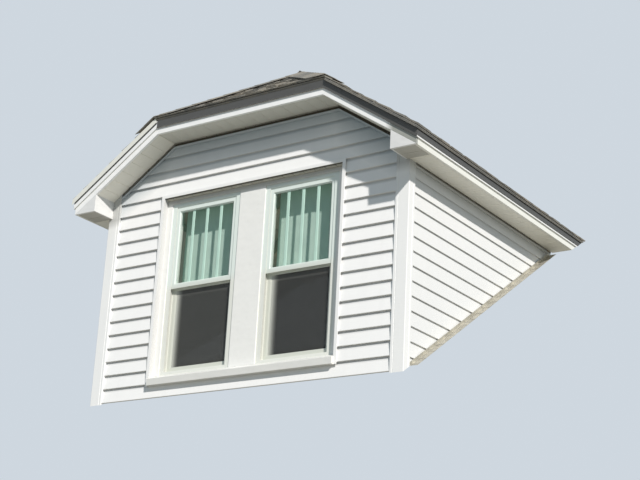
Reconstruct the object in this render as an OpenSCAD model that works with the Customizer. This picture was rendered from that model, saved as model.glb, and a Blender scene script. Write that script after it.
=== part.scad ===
// Clipped gable dormer with a pair of double hung windows, built from the roof slope up.
// X runs across the front, Y runs back into the roof, Z is up. Millimetres.
// The origin is on the sloping underside of the sole plate, at the middle of the front wall.

/* [Walls] */
// Width of the front wall over the corner posts
wall_width = 2650; // [2000:10:3600]
// Thickness of the framed walls, from sheathing to lining
wall_thick = 115; // [80:5:200]
// Thickness of the siding skin on the sheathing
siding_thick = 15; // [8:1:30]
// Depth of the siding behind the face of the corner posts
siding_recess = 5; // [2:1:12]
// Width of a corner post on the front
post_front = 105; // [60:5:150]
// Width of a corner post on the cheek
post_side = 110; // [60:5:150]
// Width of the channel that trims the siding round the windows
channel_width = 25; // [15:1:45]
// Height of the frieze strip that closes the siding under the soffits
frieze_height = 33; // [20:1:80]
// Thickness of the sole plate that lies on the roof slope
sole_thick = 38; // [25:1:60]
// Width of the flashing that lies on the slope beside each cheek
flashing_width = 60; // [30:5:120]
// Thickness of that flashing
flashing_thick = 3; // [2:1:6]
// Height of its upstand on the siding
flashing_upstand = 25; // [20:1:80]

/* [Roof] */
// Slope of the roof that the dormer stands on, in degrees
main_pitch = 34; // [25:1:45]
// Slope of the two sides of the dormer roof, in degrees
dormer_pitch = 34; // [22:1:45]
// Slope of the clipped front of the dormer roof, in degrees
clip_pitch = 34; // [25:1:50]
// Half width of the level clipped edge at the front
clip_half = 735; // [400:5:1000]
// Height of the level eave soffits over the foot of the front wall
soffit_height = 1440; // [1300:5:2200]
// Overhang of the eaves beyond the cheeks
side_overhang = 165; // [100:5:400]
// Overhang of the front edge beyond the front wall
front_overhang = 202; // [120:2:400]
// Distance of the return's inner panel from the corner towards the middle
return_inset = 32; // [14:1:80]
// Height of the fascia boards
fascia_height = 55; // [40:1:150]
// Thickness of the fascia boards
fascia_thick = 20; // [12:1:30]
// Thickness of the soffit panels
soffit_thick = 12; // [6:1:20]
// Thickness of the roof deck with its battens
deck_thick = 45; // [20:1:80]
// Overhang of the deck beyond the fascias
deck_overhang = 8; // [4:1:15]
// Thickness of the shingle layers
shingle_thick = 35; // [12:1:50]
// Overhang of the shingles beyond the fascias
shingle_overhang = 30; // [18:1:60]
// Thickness of the ridge and hip caps
cap_thick = 8; // [4:1:15]
// Half width of the ridge and hip caps on each slope
cap_half = 125; // [80:5:180]
// Thickness of the rafters
rafter_width = 38; // [35:1:50]
// Depth of the rafters square to the slope
rafter_depth = 89; // [70:1:140]
// Spacing of the rafters along the ridge
rafter_spacing = 406; // [300:1:610]
// Thickness of the ridge board
ridge_width = 25; // [19:1:45]
// Depth of the ridge board under the deck
ridge_depth = 165; // [120:5:240]
// Height of the cheek walls over the level eave soffits
plate_height = 118; // [90:1:140]

/* [Windows] */
// Distance from the middle of the front to the middle of each window
window_centre = 425; // [400:5:560]
// Clear width of the glass in each sash
glass_width = 480; // [320:5:520]
// Width of the sash stiles
stile_width = 42; // [25:1:70]
// Width of the window frame's jambs
jamb_width = 31; // [20:1:50]
// Height of the frame's head
frame_head = 20; // [15:1:50]
// Height of the frame's sill
frame_sill = 25; // [15:1:50]
// Height of the lower sash's bottom rail
bottom_rail = 62; // [40:1:100]
// Height of the lower glass
lower_glass = 550; // [400:5:700]
// Height that the two meeting rails cover between the glasses
meeting_height = 62; // [50:1:90]
// Height of the lower sash's meeting rail
meeting_rail = 34; // [33:1:60]
// Height of the upper sash's meeting rail
upper_rail = 56; // [45:1:60]
// Height of the upper glass
upper_glass = 543; // [380:1:700]
// Height of the upper sash's top rail
top_rail = 38; // [25:1:70]
// Thickness of each sash
sash_thick = 28; // [22:1:45]
// Thickness of the glass units
pane_thick = 12; // [4:1:18]
// Height and depth of the glazing beads round the glass
bead_step = 7; // [3:1:9]
// Width of the stops that keep the sashes in their tracks
track_stop = 9; // [4:1:15]
// Depth of the window frame's face behind the corner posts
frame_recess = 52; // [30:1:80]
// Depth of the casing's face behind the corner posts
casing_recess = 45; // [25:1:75]
// Thickness of the cover on the mullion
mullion_cover = 12; // [6:1:25]
// Width of the casing beside the windows
casing_width = 50; // [30:1:120]
// Height of the casing over the windows
casing_head = 30; // [20:1:90]
// Height of the foot of the sill over the foot of the wall
sill_foot = 100; // [60:5:400]
// Height of the sill under the window frames
sill_height = 80; // [50:1:120]
// Height of the sill's front nosing
sill_nosing = 48; // [25:1:70]
// Depth of the nosing in front of the corner posts
sill_nose = 20; // [10:1:50]
// Depth from the frame's face to the upper sash
upper_track = 6; // [4:1:9]
// Gap between the two sashes, which the insect screen's frame fills
track_gap = 10; // [7:1:13]
// Height that the screen reaches up behind the upper sash
screen_lap = 30; // [20:1:45]
// Height of the screen's top rail
screen_rail = 24; // [12:1:28]
// Thickness of the screen's mesh sheet
screen_mesh = 2; // [1:1:4]
// Thickness of a shade's cloth
shade_cloth = 2; // [1:1:4]
// Radius of a shade's roller
roller_radius = 17; // [12:1:30]
// Gap between a shade's roller and the wall
roller_gap = 6; // [3:1:20]
// Thickness of a shade's end brackets
bracket_thick = 3; // [2:1:6]
// Height of a shade's bottom slat
shade_slat = 18; // [10:1:40]
// Thickness of a shade's bottom slat
slat_thick = 8; // [5:1:15]
// Distance that a shade hangs below the top of the lower sash
shade_drop = 10; // [0:1:200]
// Side clearance of a shade to the window frame's jambs
shade_side = 6; // [4:1:20]

/* [Hidden] */
far = 9000;
half = wall_width / 2;
tm = tan(main_pitch);
tp = tan(dormer_pitch);
tc = tan(clip_pitch);
core_face = siding_recess + siding_thick;
core_back = core_face + wall_thick;
core_half = half - core_face;
core_inner = core_half - wall_thick;
sole_rise = sole_thick / cos(main_pitch);
mount_depth = core_face + wall_thick / 2;
eave_x = half + side_overhang;
front_y = -front_overhang;
fascia_top = soffit_height + fascia_height;
ridge_under = fascia_top + tp * eave_x;
clip_top = fascia_top + tp * (eave_x - clip_half);
clip_soffit = clip_top - fascia_height;
apex_y = front_y + tp * clip_half / tc;
hip_run = apex_y - front_y;
roof_top = deck_thick + shingle_thick;
return_x = half - return_inset;
unit_half = glass_width / 2 + stile_width + jamb_width;
sash_half = glass_width / 2 + stile_width;
mullion_half = window_centre - unit_half;
opening_half = window_centre + unit_half + casing_width;
unit_foot = sill_foot + sill_height;
sash_foot = unit_foot + frame_sill;
lower_low = sash_foot + bottom_rail;
lower_high = lower_low + lower_glass;
upper_low = lower_high + meeting_height;
upper_high = upper_low + upper_glass;
sash_top = upper_high + top_rail;
unit_top = sash_top + frame_head;
opening_top = unit_top + casing_head;
lower_sash_top = lower_high + meeting_rail;
upper_sash_foot = upper_low - upper_rail;
upper_face = frame_recess + upper_track;
lower_face = upper_face + sash_thick + track_gap;
screen_face = upper_face + sash_thick;
screen_half = sash_half - track_stop;
screen_top = upper_sash_foot + screen_lap;
plate_top = soffit_height + plate_height;
fascia_back = eave_x - fascia_thick;
shade_half = sash_half - shade_side;
roller_y = core_back + roller_gap + roller_radius;
roller_z = unit_top;
cloth_y = roller_y + roller_radius;

// Moves the drawing frame, at the foot of the front face, to the mount on the sole plate
module to_mount() {
    translate([0, -mount_depth, -mount_depth * tm])
        children();
}

// Mirrors a piece of the right side to the left
module to_left() {
    mirror([1, 0, 0])
        children();
}

// A profile drawn in X and Z, run along Y from a to b
module along_y(a, b) {
    translate([0, b, 0])
        rotate([90, 0, 0])
            linear_extrude(b - a)
                children();
}

// A profile drawn in Y and Z, run along X from a to b
module along_x(a, b) {
    translate([a, 0, 0])
        rotate([90, 0, 90])
            linear_extrude(b - a)
                children();
}

// Everything on or under the main roof slope, raised by a thickness
module under_slope(rise) {
    along_x(-far, far)
        polygon([[-far, -far * tm + rise], [far, far * tm + rise], [far, -far], [-far, -far * tm - far]]);
}

// The space under the dormer roof, its three slopes raised square to themselves
module under_roof(raise) {
    up = raise / cos(dormer_pitch);
    intersection() {
        along_y(-far, far)
            polygon([[0, ridge_under + up], [far, ridge_under + up - tp * far], [far, -far],
                [-far, -far], [-far, ridge_under + up - tp * far]]);
        along_x(-far, far)
            polygon([[front_y - far, clip_top - tc * far + raise / cos(clip_pitch)],
                [front_y + far, clip_top + tc * far + raise / cos(clip_pitch)],
                [front_y + far, -far], [front_y - far, -far]]);
    }
}

// What is kept of a dormer piece: over the main slope and under the roof deck
module in_shell(rise) {
    difference() {
        intersection() {
            children();
            under_roof(0);
        }
        under_slope(rise);
    }
}

// Plan of the clipped front slope, between the two hips
module front_plan() {
    polygon([[0, apex_y], [clip_half * (far / hip_run), apex_y - far],
        [-clip_half * (far / hip_run), apex_y - far]]);
}

// Plan of the right slope, from its hip and the ridge outwards
module right_plan() {
    polygon([[0, apex_y], [clip_half * (far / hip_run), apex_y - far], [far, apex_y - far],
        [far, far], [0, far]]);
}

// One layer of the roof between two thicknesses, inside a plan and out to an overhang
module roof_layer(low, high, over) {
    difference() {
        intersection() {
            under_roof(high);
            linear_extrude(far)
                intersection() {
                    children();
                    translate([-eave_x - over, front_y - over])
                        square([2 * (eave_x + over), far]);
                }
        }
        under_roof(low);
        under_slope(0);
    }
}

// Line of the sloping rake, at a height over its foot
function rake_at(x) = soffit_height + tp * (eave_x - x);

// Sole plate round the opening in the roof, with its sleepers along the two valleys
module sole_plate() {
    color("burlywood")
        to_mount()
            difference() {
                intersection() {
                    translate([-core_half, core_face, 0])
                        cube([2 * core_half, far, far]);
                    under_slope(sole_rise);
                    under_roof(0);
                }
                under_slope(0);
                intersection() {
                    translate([-core_inner, core_back, -far])
                        cube([2 * core_inner, far, 2 * far]);
                    under_roof(-rafter_depth);
                }
            }
}

// Framed panel of the front wall beside the windows
module front_wall_right() {
    color("wheat")
        to_mount()
            in_shell(sole_rise)
                translate([opening_half, core_face, 0])
                    cube([core_half - opening_half, wall_thick, far]);
}

module front_wall_left() {
    to_left()
        front_wall_right();
}

// Framed panel of the front wall over the windows, up to the clipped roof
module front_wall_head() {
    color("wheat")
        to_mount()
            in_shell(sole_rise)
                translate([-opening_half, core_face, opening_top])
                    cube([2 * opening_half, wall_thick, far]);
}

// Post between the two windows
module window_post() {
    color("burlywood")
        to_mount()
            translate([-mullion_half, casing_recess + mullion_cover, unit_foot])
                cube([2 * mullion_half, core_back - casing_recess - mullion_cover, unit_top - unit_foot]);
}

// Framed triangle of the cheek, behind the front wall and under the rafters' seats
module right_cheek_wall() {
    color("wheat")
        to_mount()
            in_shell(sole_rise)
                translate([core_inner, core_back, 0])
                    cube([wall_thick, far, plate_top]);
}

module left_cheek_wall() {
    to_left()
        right_cheek_wall();
}

// Siding skin of the front, with the frieze strip under its soffits
module front_siding() {
    inner = half - post_front;
    color("white")
        to_mount()
            difference() {
                union() {
                    in_shell(0)
                        translate([-inner, siding_recess, 0])
                            cube([2 * inner, siding_thick, far]);
                    along_y(0, siding_recess + 1)
                        polygon([[-inner, rake_at(inner)], [-clip_half, clip_soffit],
                            [clip_half, clip_soffit], [inner, rake_at(inner)],
                            [inner, rake_at(inner) - frieze_height],
                            [clip_half, clip_soffit - frieze_height],
                            [-clip_half, clip_soffit - frieze_height],
                            [-inner, rake_at(inner) - frieze_height]]);
                    translate([-opening_half - channel_width, 0, sill_foot])
                        cube([2 * (opening_half + channel_width), siding_recess + 1,
                            opening_top + channel_width - sill_foot]);
                }
                translate([-opening_half, -far / 2, sill_foot])
                    cube([2 * opening_half, far, opening_top - sill_foot]);
            }
}

// Siding skin of the cheek, with the frieze strip under its soffit
module right_cheek_siding() {
    color("white")
        to_mount()
            in_shell(0) {
                translate([core_half, post_side, 0])
                    cube([siding_thick, far, soffit_height + soffit_thick]);
                translate([half - siding_recess - 1, post_side, soffit_height - frieze_height])
                    cube([siding_recess + 1, far, frieze_height]);
            }
}

module left_cheek_siding() {
    to_left()
        right_cheek_siding();
}

// Corner post in an angle round the edge of the siding
module right_corner_post() {
    color("white")
        to_mount()
            in_shell(0)
                linear_extrude(far)
                    polygon([[half - post_front, 0], [half, 0], [half, post_side],
                        [core_half, post_side], [core_half, core_face], [half - post_front, core_face]]);
}

module left_corner_post() {
    to_left()
        right_corner_post();
}

// Rectangle with a rectangle cut out, drawn in X and Z about the window's middle
module window_ring(half_out, low_out, high_out, half_in, low_in, high_in) {
    difference() {
        translate([window_centre - half_out, low_out])
            square([2 * half_out, high_out - low_out]);
        translate([window_centre - half_in, low_in])
            square([2 * half_in, high_in - low_in]);
    }
}

// Frame of one double hung window
module right_window_frame() {
    color("white")
        to_mount() {
            along_y(frame_recess, core_back)
                window_ring(unit_half, unit_foot, unit_top, sash_half, sash_foot, sash_top);
            for (stop = [[frame_recess, upper_face], [upper_face + sash_thick, lower_face],
                    [lower_face + sash_thick, core_back]])
                along_y(stop[0], stop[1])
                    window_ring(sash_half + 1, sash_foot - 1, sash_top + 1, sash_half - track_stop,
                        sash_foot, sash_top - track_stop);
        }
}

module left_window_frame() {
    to_left()
        right_window_frame();
}

// One sash: a ring with glazing beads set back from both of its faces
module sash(face, foot, top, low, high) {
    along_y(face, face + sash_thick)
        window_ring(sash_half, foot, top, glass_width / 2 + bead_step, low - bead_step, high + bead_step);
    along_y(face + bead_step, face + sash_thick - bead_step)
        window_ring(sash_half, foot, top, glass_width / 2, low, high);
}

// Upper sash in the outer track
module right_upper_sash() {
    color("gainsboro")
        to_mount()
            sash(upper_face, upper_sash_foot, sash_top, upper_low, upper_high);
}

module left_upper_sash() {
    to_left()
        right_upper_sash();
}

// Lower sash in the inner track
module right_lower_sash() {
    color("gainsboro")
        to_mount()
            sash(lower_face, sash_foot, lower_sash_top, lower_low, lower_high);
}

module left_lower_sash() {
    to_left()
        right_lower_sash();
}

// Pair of glass units of one window
module window_panes() {
    inset = (sash_thick - pane_thick) / 2;
    translate([window_centre - glass_width / 2, upper_face + inset, upper_low])
        cube([glass_width, pane_thick, upper_glass]);
    translate([window_centre - glass_width / 2, lower_face + inset, lower_low])
        cube([glass_width, pane_thick, lower_glass]);
}

// Four glass units
module window_glass() {
    color("lightblue", 0.5)
        to_mount() {
            window_panes();
            to_left()
                window_panes();
        }
}

// Half screen between the parting stops, its top rail behind the upper sash
module window_screen() {
    along_y(screen_face, lower_face)
        window_ring(screen_half, sash_foot, screen_top, glass_width / 2, lower_low, screen_top - screen_rail);
    translate([window_centre - glass_width / 2 - 1, (screen_face + lower_face - screen_mesh) / 2,
            lower_low - 1])
        cube([glass_width + 2, screen_mesh, screen_top - screen_rail - lower_low + 2]);
}

// Two half screens
module insect_screens() {
    color("dimgray")
        to_mount() {
            window_screen();
            to_left()
                window_screen();
        }
}

// Cloth of the shade behind one window, drawn down to the meeting rails, with its bottom slat
module right_shade() {
    low = lower_sash_top - shade_drop;
    color("honeydew")
        to_mount() {
            translate([window_centre - shade_half, cloth_y, low])
                cube([2 * shade_half, shade_cloth, roller_z - low]);
            translate([window_centre - shade_half, cloth_y + (shade_cloth - slat_thick) / 2, low])
                cube([2 * shade_half, slat_thick, shade_slat]);
        }
}

module left_shade() {
    to_left()
        right_shade();
}

// Roller of one shade, in two brackets on the wall
module shade_roller() {
    translate([window_centre - shade_half, roller_y, roller_z])
        rotate([0, 90, 0])
            cylinder(r = roller_radius, h = 2 * shade_half, $fn = 48);
    for (end = [window_centre - shade_half - bracket_thick, window_centre + shade_half])
        translate([end, core_back, roller_z - roller_radius])
            cube([bracket_thick, roller_gap + 2 * roller_radius, 2 * roller_radius]);
}

// Rollers of both shades
module shade_rollers() {
    color("silver")
        to_mount() {
            shade_roller();
            to_left()
                shade_roller();
        }
}

// Casing round both windows: side boards, head board and the flat mullion cover
module window_casing() {
    color("white")
        to_mount() {
            along_y(casing_recess, core_back)
                difference() {
                    translate([-opening_half, unit_foot])
                        square([2 * opening_half, opening_top - unit_foot]);
                    translate([-opening_half + casing_width, unit_foot - 1])
                        square([2 * (opening_half - casing_width), unit_top - unit_foot + 1]);
                }
            translate([-mullion_half, casing_recess, unit_foot])
                cube([2 * mullion_half, mullion_cover, unit_top - unit_foot + 1]);
        }
}

// Sloping sill on the sole plate, with a nosing and a drip in front of the siding
module window_sill() {
    color("white")
        to_mount()
            difference() {
                along_x(-opening_half, opening_half)
                    polygon([[core_face, sill_foot], [core_face, 0], [core_back, 0], [core_back, unit_foot],
                        [casing_recess, unit_foot], [-sill_nose, sill_foot + sill_nosing],
                        [-sill_nose, sill_foot], [-sill_nose / 2, sill_foot],
                        [-sill_nose / 2, sill_foot + sill_nose / 4],
                        [-sill_nose / 4, sill_foot + sill_nose / 4], [-sill_nose / 4, sill_foot]]);
                under_slope(sole_rise);
            }
}

// Ridge board from the hips to the main roof
module ridge_board() {
    color("burlywood")
        to_mount()
            difference() {
                intersection() {
                    translate([-ridge_width / 2, apex_y, ridge_under - ridge_depth])
                        cube([ridge_width, far, far]);
                    under_roof(0);
                }
                under_slope(sole_rise);
            }
}

// Space of the rafters: under the deck, over the eave soffits and on the cheek plates
module rafter_layer() {
    difference() {
        intersection() {
            under_roof(0);
            translate([-fascia_back, -far, soffit_height + soffit_thick])
                cube([2 * fascia_back, 2 * far, far]);
        }
        under_roof(-rafter_depth);
        under_slope(sole_rise);
        translate([-core_half, -far, -far])
            cube([2 * core_half, 2 * far, far + plate_top]);
    }
}

// Plan of the right rafters, between the ridge board, the hip rafter and the fascia
module rafter_plan() {
    difference() {
        intersection() {
            right_plan();
            union()
                for (y = [core_back:rafter_spacing:ridge_under / tm])
                    translate([ridge_width / 2, y])
                        square([far, rafter_width]);
        }
        hip_plan();
    }
}

// Plan of the right hip rafter
module hip_plan() {
    translate([0, apex_y])
        rotate(atan2(clip_half, hip_run))
            translate([-rafter_width / 2, -far])
                square([rafter_width, far + rafter_width]);
}

// Common and jack rafters, with their seats on the cheek walls
module common_rafters() {
    color("burlywood")
        to_mount()
            for (side = [0, 1])
                mirror([side, 0, 0])
                    intersection() {
                        rafter_layer();
                        linear_extrude(far)
                            rafter_plan();
                    }
}

// Hip rafters from the front wall to the ridge board
module hip_rafters() {
    color("burlywood")
        to_mount()
            for (side = [0, 1])
                mirror([side, 0, 0])
                    intersection() {
                        rafter_layer();
                        linear_extrude(far)
                            intersection() {
                                hip_plan();
                                translate([ridge_width / 2, core_back])
                                    square([far, far]);
                            }
                    }
}

// Deck of the right slope
module right_roof_deck() {
    color("tan")
        to_mount()
            roof_layer(0, deck_thick, deck_overhang)
                right_plan();
}

module left_roof_deck() {
    to_left()
        right_roof_deck();
}

// Deck of the clipped front slope
module front_roof_deck() {
    color("tan")
        to_mount()
            roof_layer(0, deck_thick, deck_overhang)
                front_plan();
}

// Shingle layers of the right slope
module right_shingles() {
    color("slategray")
        to_mount()
            roof_layer(deck_thick, roof_top, shingle_overhang)
                right_plan();
}

module left_shingles() {
    to_left()
        right_shingles();
}

// Shingle layers of the clipped front slope
module front_shingles() {
    color("slategray")
        to_mount()
            roof_layer(deck_thick, roof_top, shingle_overhang)
                front_plan();
}

// Caps that close the ridge and the two hips
module ridge_and_hip_caps() {
    hip_angle = atan2(clip_half, hip_run);
    color("dimgray")
        to_mount()
            roof_layer(roof_top, roof_top + cap_thick, shingle_overhang)
                union() {
                    translate([-cap_half, apex_y])
                        square([2 * cap_half, far]);
                    for (turn = [-hip_angle, hip_angle])
                        translate([0, apex_y])
                            rotate(turn)
                                translate([-cap_half, -far])
                                    square([2 * cap_half, far]);
                }
}

// Level fascia of the clipped front
module front_fascia() {
    color("white")
        to_mount()
            in_shell(0)
                translate([-clip_half, front_y, clip_soffit])
                    cube([2 * clip_half, fascia_thick, 2 * fascia_height]);
}

// Fascia that follows the rake from the clipped edge to the eave
module right_rake_fascia() {
    color("white")
        to_mount()
            along_y(front_y, front_y + fascia_thick)
                polygon([[clip_half, clip_soffit], [eave_x, soffit_height], [eave_x, fascia_top],
                    [clip_half, clip_top]]);
}

module left_rake_fascia() {
    to_left()
        right_rake_fascia();
}

// Fascia along the eave, ending on the main roof
module right_eave_fascia() {
    color("white")
        to_mount()
            in_shell(0)
                translate([eave_x - fascia_thick, front_y + fascia_thick, soffit_height])
                    cube([fascia_thick, far, 2 * fascia_height]);
}

module left_eave_fascia() {
    to_left()
        right_eave_fascia();
}

// Level soffit under the clipped front
module front_soffit() {
    color("silver")
        to_mount()
            translate([-clip_half, front_y + fascia_thick, clip_soffit])
                cube([2 * clip_half, front_overhang - fascia_thick, soffit_thick]);
}

// Sloping soffits under the rakes, up to the boxed returns
module rake_soffits() {
    rise = soffit_thick / cos(dormer_pitch);
    color("silver")
        to_mount()
            for (side = [0, 1])
                mirror([side, 0, 0])
                    along_y(front_y + fascia_thick, 0)
                        polygon([[clip_half, clip_soffit], [return_x, rake_at(return_x)],
                            [return_x, rake_at(return_x) + rise], [clip_half, clip_soffit + rise]]);
}

// Level soffits under the eaves, ending on the main roof
module eave_soffits() {
    color("silver")
        to_mount()
            for (side = [0, 1])
                mirror([side, 0, 0])
                    in_shell(0) {
                        translate([half, front_y + fascia_thick, soffit_height])
                            cube([side_overhang - fascia_thick, far, soffit_thick]);
                        translate([return_x + soffit_thick, front_y + fascia_thick, soffit_height])
                            cube([return_inset - soffit_thick + 1, front_overhang - fascia_thick,
                                soffit_thick]);
                    }
}

// Boxed return that closes the end of one eave at the front
module eave_return() {
    along_y(front_y, front_y + fascia_thick)
        polygon([[return_x, soffit_height], [eave_x, soffit_height], [return_x, rake_at(return_x)]]);
    along_y(front_y + fascia_thick - 1, 0)
        polygon([[return_x, soffit_height], [return_x + soffit_thick, soffit_height],
            [return_x + soffit_thick, rake_at(return_x + soffit_thick)],
            [return_x, rake_at(return_x)]]);
}

// Boxed returns of both eaves
module eave_returns() {
    color("white")
        to_mount() {
            eave_return();
            to_left()
                eave_return();
        }
}

// Flashing beside one cheek, with its upstand on the siding
module cheek_flashing() {
    flat_rise = flashing_thick / cos(main_pitch);
    difference() {
        intersection() {
            union() {
                translate([half - siding_recess, post_side, 0])
                    cube([siding_recess, far, far]);
                difference() {
                    translate([half - siding_recess, post_side, 0])
                        cube([siding_recess + flashing_width, far, far]);
                    under_slope(flat_rise + far);
                }
            }
            under_slope(flashing_upstand);
            translate([0, 0, -far])
                cube([far, far, far + soffit_height - frieze_height]);
        }
        under_slope(0);
    }
    difference() {
        intersection() {
            translate([half - 1, post_side, 0])
                cube([flashing_width + 1, far, far]);
            under_slope(flat_rise);
            translate([0, 0, -far])
                cube([far, far, far + soffit_height - frieze_height]);
        }
        under_slope(0);
    }
}

// Step flashings beside the two cheeks
module step_flashings() {
    color("gray")
        to_mount() {
            cheek_flashing();
            to_left()
                cheek_flashing();
        }
}

sole_plate();
front_wall_left();
front_wall_right();
front_wall_head();
window_post();
left_cheek_wall();
right_cheek_wall();
front_siding();
left_cheek_siding();
right_cheek_siding();
left_corner_post();
right_corner_post();
left_window_frame();
right_window_frame();
left_upper_sash();
right_upper_sash();
left_lower_sash();
right_lower_sash();
window_glass();
insect_screens();
left_shade();
right_shade();
shade_rollers();
window_casing();
window_sill();
ridge_board();
common_rafters();
hip_rafters();
left_roof_deck();
right_roof_deck();
front_roof_deck();
left_shingles();
right_shingles();
front_shingles();
ridge_and_hip_caps();
front_fascia();
left_rake_fascia();
right_rake_fascia();
left_eave_fascia();
right_eave_fascia();
front_soffit();
rake_soffits();
eave_soffits();
eave_returns();
step_flashings();
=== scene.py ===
"""Looks of a clipped gable dormer window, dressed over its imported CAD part.

Metres, X to the right, Y to the back, Z up. Pieces are drawn from the foot of the front
wall's face and then moved by FOOT to the part's own origin on the sole plate.
"""
import math

import bmesh
import bpy
from bpy.props import FloatProperty, FloatVectorProperty, IntProperty, PointerProperty
from mathutils import Matrix, Vector


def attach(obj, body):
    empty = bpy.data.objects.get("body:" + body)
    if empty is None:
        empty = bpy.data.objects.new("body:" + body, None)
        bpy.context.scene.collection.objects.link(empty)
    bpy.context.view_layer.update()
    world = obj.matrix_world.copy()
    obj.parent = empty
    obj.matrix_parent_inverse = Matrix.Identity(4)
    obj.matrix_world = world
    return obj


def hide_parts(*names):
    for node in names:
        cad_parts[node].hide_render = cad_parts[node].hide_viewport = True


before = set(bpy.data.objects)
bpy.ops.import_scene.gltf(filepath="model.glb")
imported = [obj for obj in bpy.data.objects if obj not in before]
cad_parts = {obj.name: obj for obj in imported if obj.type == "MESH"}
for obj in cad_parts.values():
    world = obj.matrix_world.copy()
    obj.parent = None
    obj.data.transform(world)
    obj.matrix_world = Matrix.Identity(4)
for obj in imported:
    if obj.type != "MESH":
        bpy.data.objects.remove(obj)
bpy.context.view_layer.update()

bl_info = {
    "name": "Clipped gable dormer",
    "version": (1, 0, 0),
    "blender": (4, 5, 0),
    "location": "3D View > Sidebar > Dormer",
    "description": "Dresses a clipped gable dormer with siding, windows, trim, shingles and flashing",
    "category": "Object",
}

SIDES = (-1, 1)

# Sizes of the part, in metres, from the foot of the front wall's face. First the pitch of the roof
# and of the slope that the part is cut on, and where that foot is from the part's origin
PITCH = math.radians(34)
SINE, COSINE, RISE = math.sin(PITCH), math.cos(PITCH), math.tan(PITCH)
FOOT = Vector((0, -0.0775, -0.0775 * RISE))

# Walls: half their width, the posts' widths on the front and on the cheeks, the siding's depths
HALF = 1.325
POST_FRONT = 0.105
POST_SIDE = 0.077
SIDING_FACE = 0.005
SIDING_BACK = 0.020

# Roof: the heights of the soffits, the clip and the ridge's underside, where the eaves, the front,
# the clip, the ridge and the returns end, and the thickness of the deck, all the layers and the caps
SOFFIT = 1.440
SLOPE_END = SOFFIT / RISE
FASCIA_THICK = 0.020
EAVE = 1.490
FRONT = -0.202
CLIP_HALF = 0.735
RIDGE_UNDER = 2.500021
CLIP_SOFFIT = 1.949246
CLIP_TOP = CLIP_SOFFIT + 0.055
APEX = 0.533
ROOF_END = 4.2
RETURN = 1.293
DECK = 0.045
ROOF = 0.080
CAPS = 0.008
OVERHANG = 0.030

# Windows: the recess in the siding, a window's middle, then its glass, sashes, screen and shade
OPENING = 0.788
CHANNEL = 0.025
SILL_FOOT = 0.100
OPENING_TOP = 1.510
WINDOW = 0.425
GLASS_HALF = 0.240
UPPER_FACE = 0.058
LOWER_FACE = 0.096
SASH_THICK = 0.028
PANE_INSET = 0.008
PANE_THICK = 0.012
LOWER_GLASS = (0.267, 0.817)
UPPER_GLASS = (0.863, 1.411)
SOLID_UPPER_GLASS = (0.879, 1.422)
GROOVE = 0.007
SASH_FOOT = 0.205
SCREEN_HALF = 0.273
SCREEN_TOP = 0.853
SCREEN_OPENING = (0.243, 0.813)
UNIT_TOP = 1.480
SHADE_HALF = 0.276
SHADE_FACE = 0.175
SHADE_FOOT = 0.841

# Step flashings: their width on the slope and the height where they end
FLASHING = 0.060
FLASHING_TOP = 2.0855

# Small clearances, between two pieces and between a cut and what hides it
SLACK = 0.0008
HIDDEN = 0.0006


def rake(x):
    """Height of the rake's underside at a distance from the middle."""
    return SOFFIT + RISE * (EAVE - abs(x))


# Settings


def length(name, description, default):
    """A length setting, in metres."""
    return FloatProperty(name=name, description=description, default=default, min=0.0001, precision=4,
                         subtype="DISTANCE", unit="LENGTH")


def tone(name, description, default):
    """A colour setting."""
    return FloatVectorProperty(name=name, description=description, default=default, size=3,
                               min=0.0, max=1.0, subtype="COLOR")


class DormerSizes(bpy.types.PropertyGroup):
    """Sizes of what repeats on the dormer."""

    course: length("Course", "Height of one siding course", 0.1016)
    first_butt: length("First butt", "Height of the lowest full course's butt over the wall's foot", 0.014)
    butt: length("Butt", "How far a course's lower edge stands out from the course below", 0.0145)
    cheek_butt: length("Cheek butt", "How far a course's lower edge stands out on the cheeks", 0.0105)
    soffit_gap: length("Soffit gap", "Height of the open joint between the siding and the soffit", 0.024)
    head_gap: length("Head gap", "Height of the open joint between the siding and the windows' head", 0.008)
    bar_width: length("Bar width", "Width of the bars in the upper sashes", 0.027)
    bars: IntProperty(name="Bars", description="Vertical bars in each upper sash", default=3, min=0, max=7)
    exposure: length("Exposure", "Part of a shingle course that shows", 0.143)
    tab: length("Tab", "Mean width of a shingle tab", 0.165)
    tab_length: length("Tab length", "Length of a shingle up the slope", 0.300)
    cap_exposure: length("Cap exposure", "Part of a ridge or hip cap that shows", 0.127)
    panel: length("Soffit panel", "Width of one rib of the soffit panels", 0.100)
    flashing_step: length("Flashing step", "Spacing of the step flashings along the slope", 0.127)
    nail_spacing: length("Nail spacing", "Spacing of the trim nails", 0.300)
    seed: IntProperty(name="Seed", description="Seed of the shingle layout", default=7, min=0)


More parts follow.
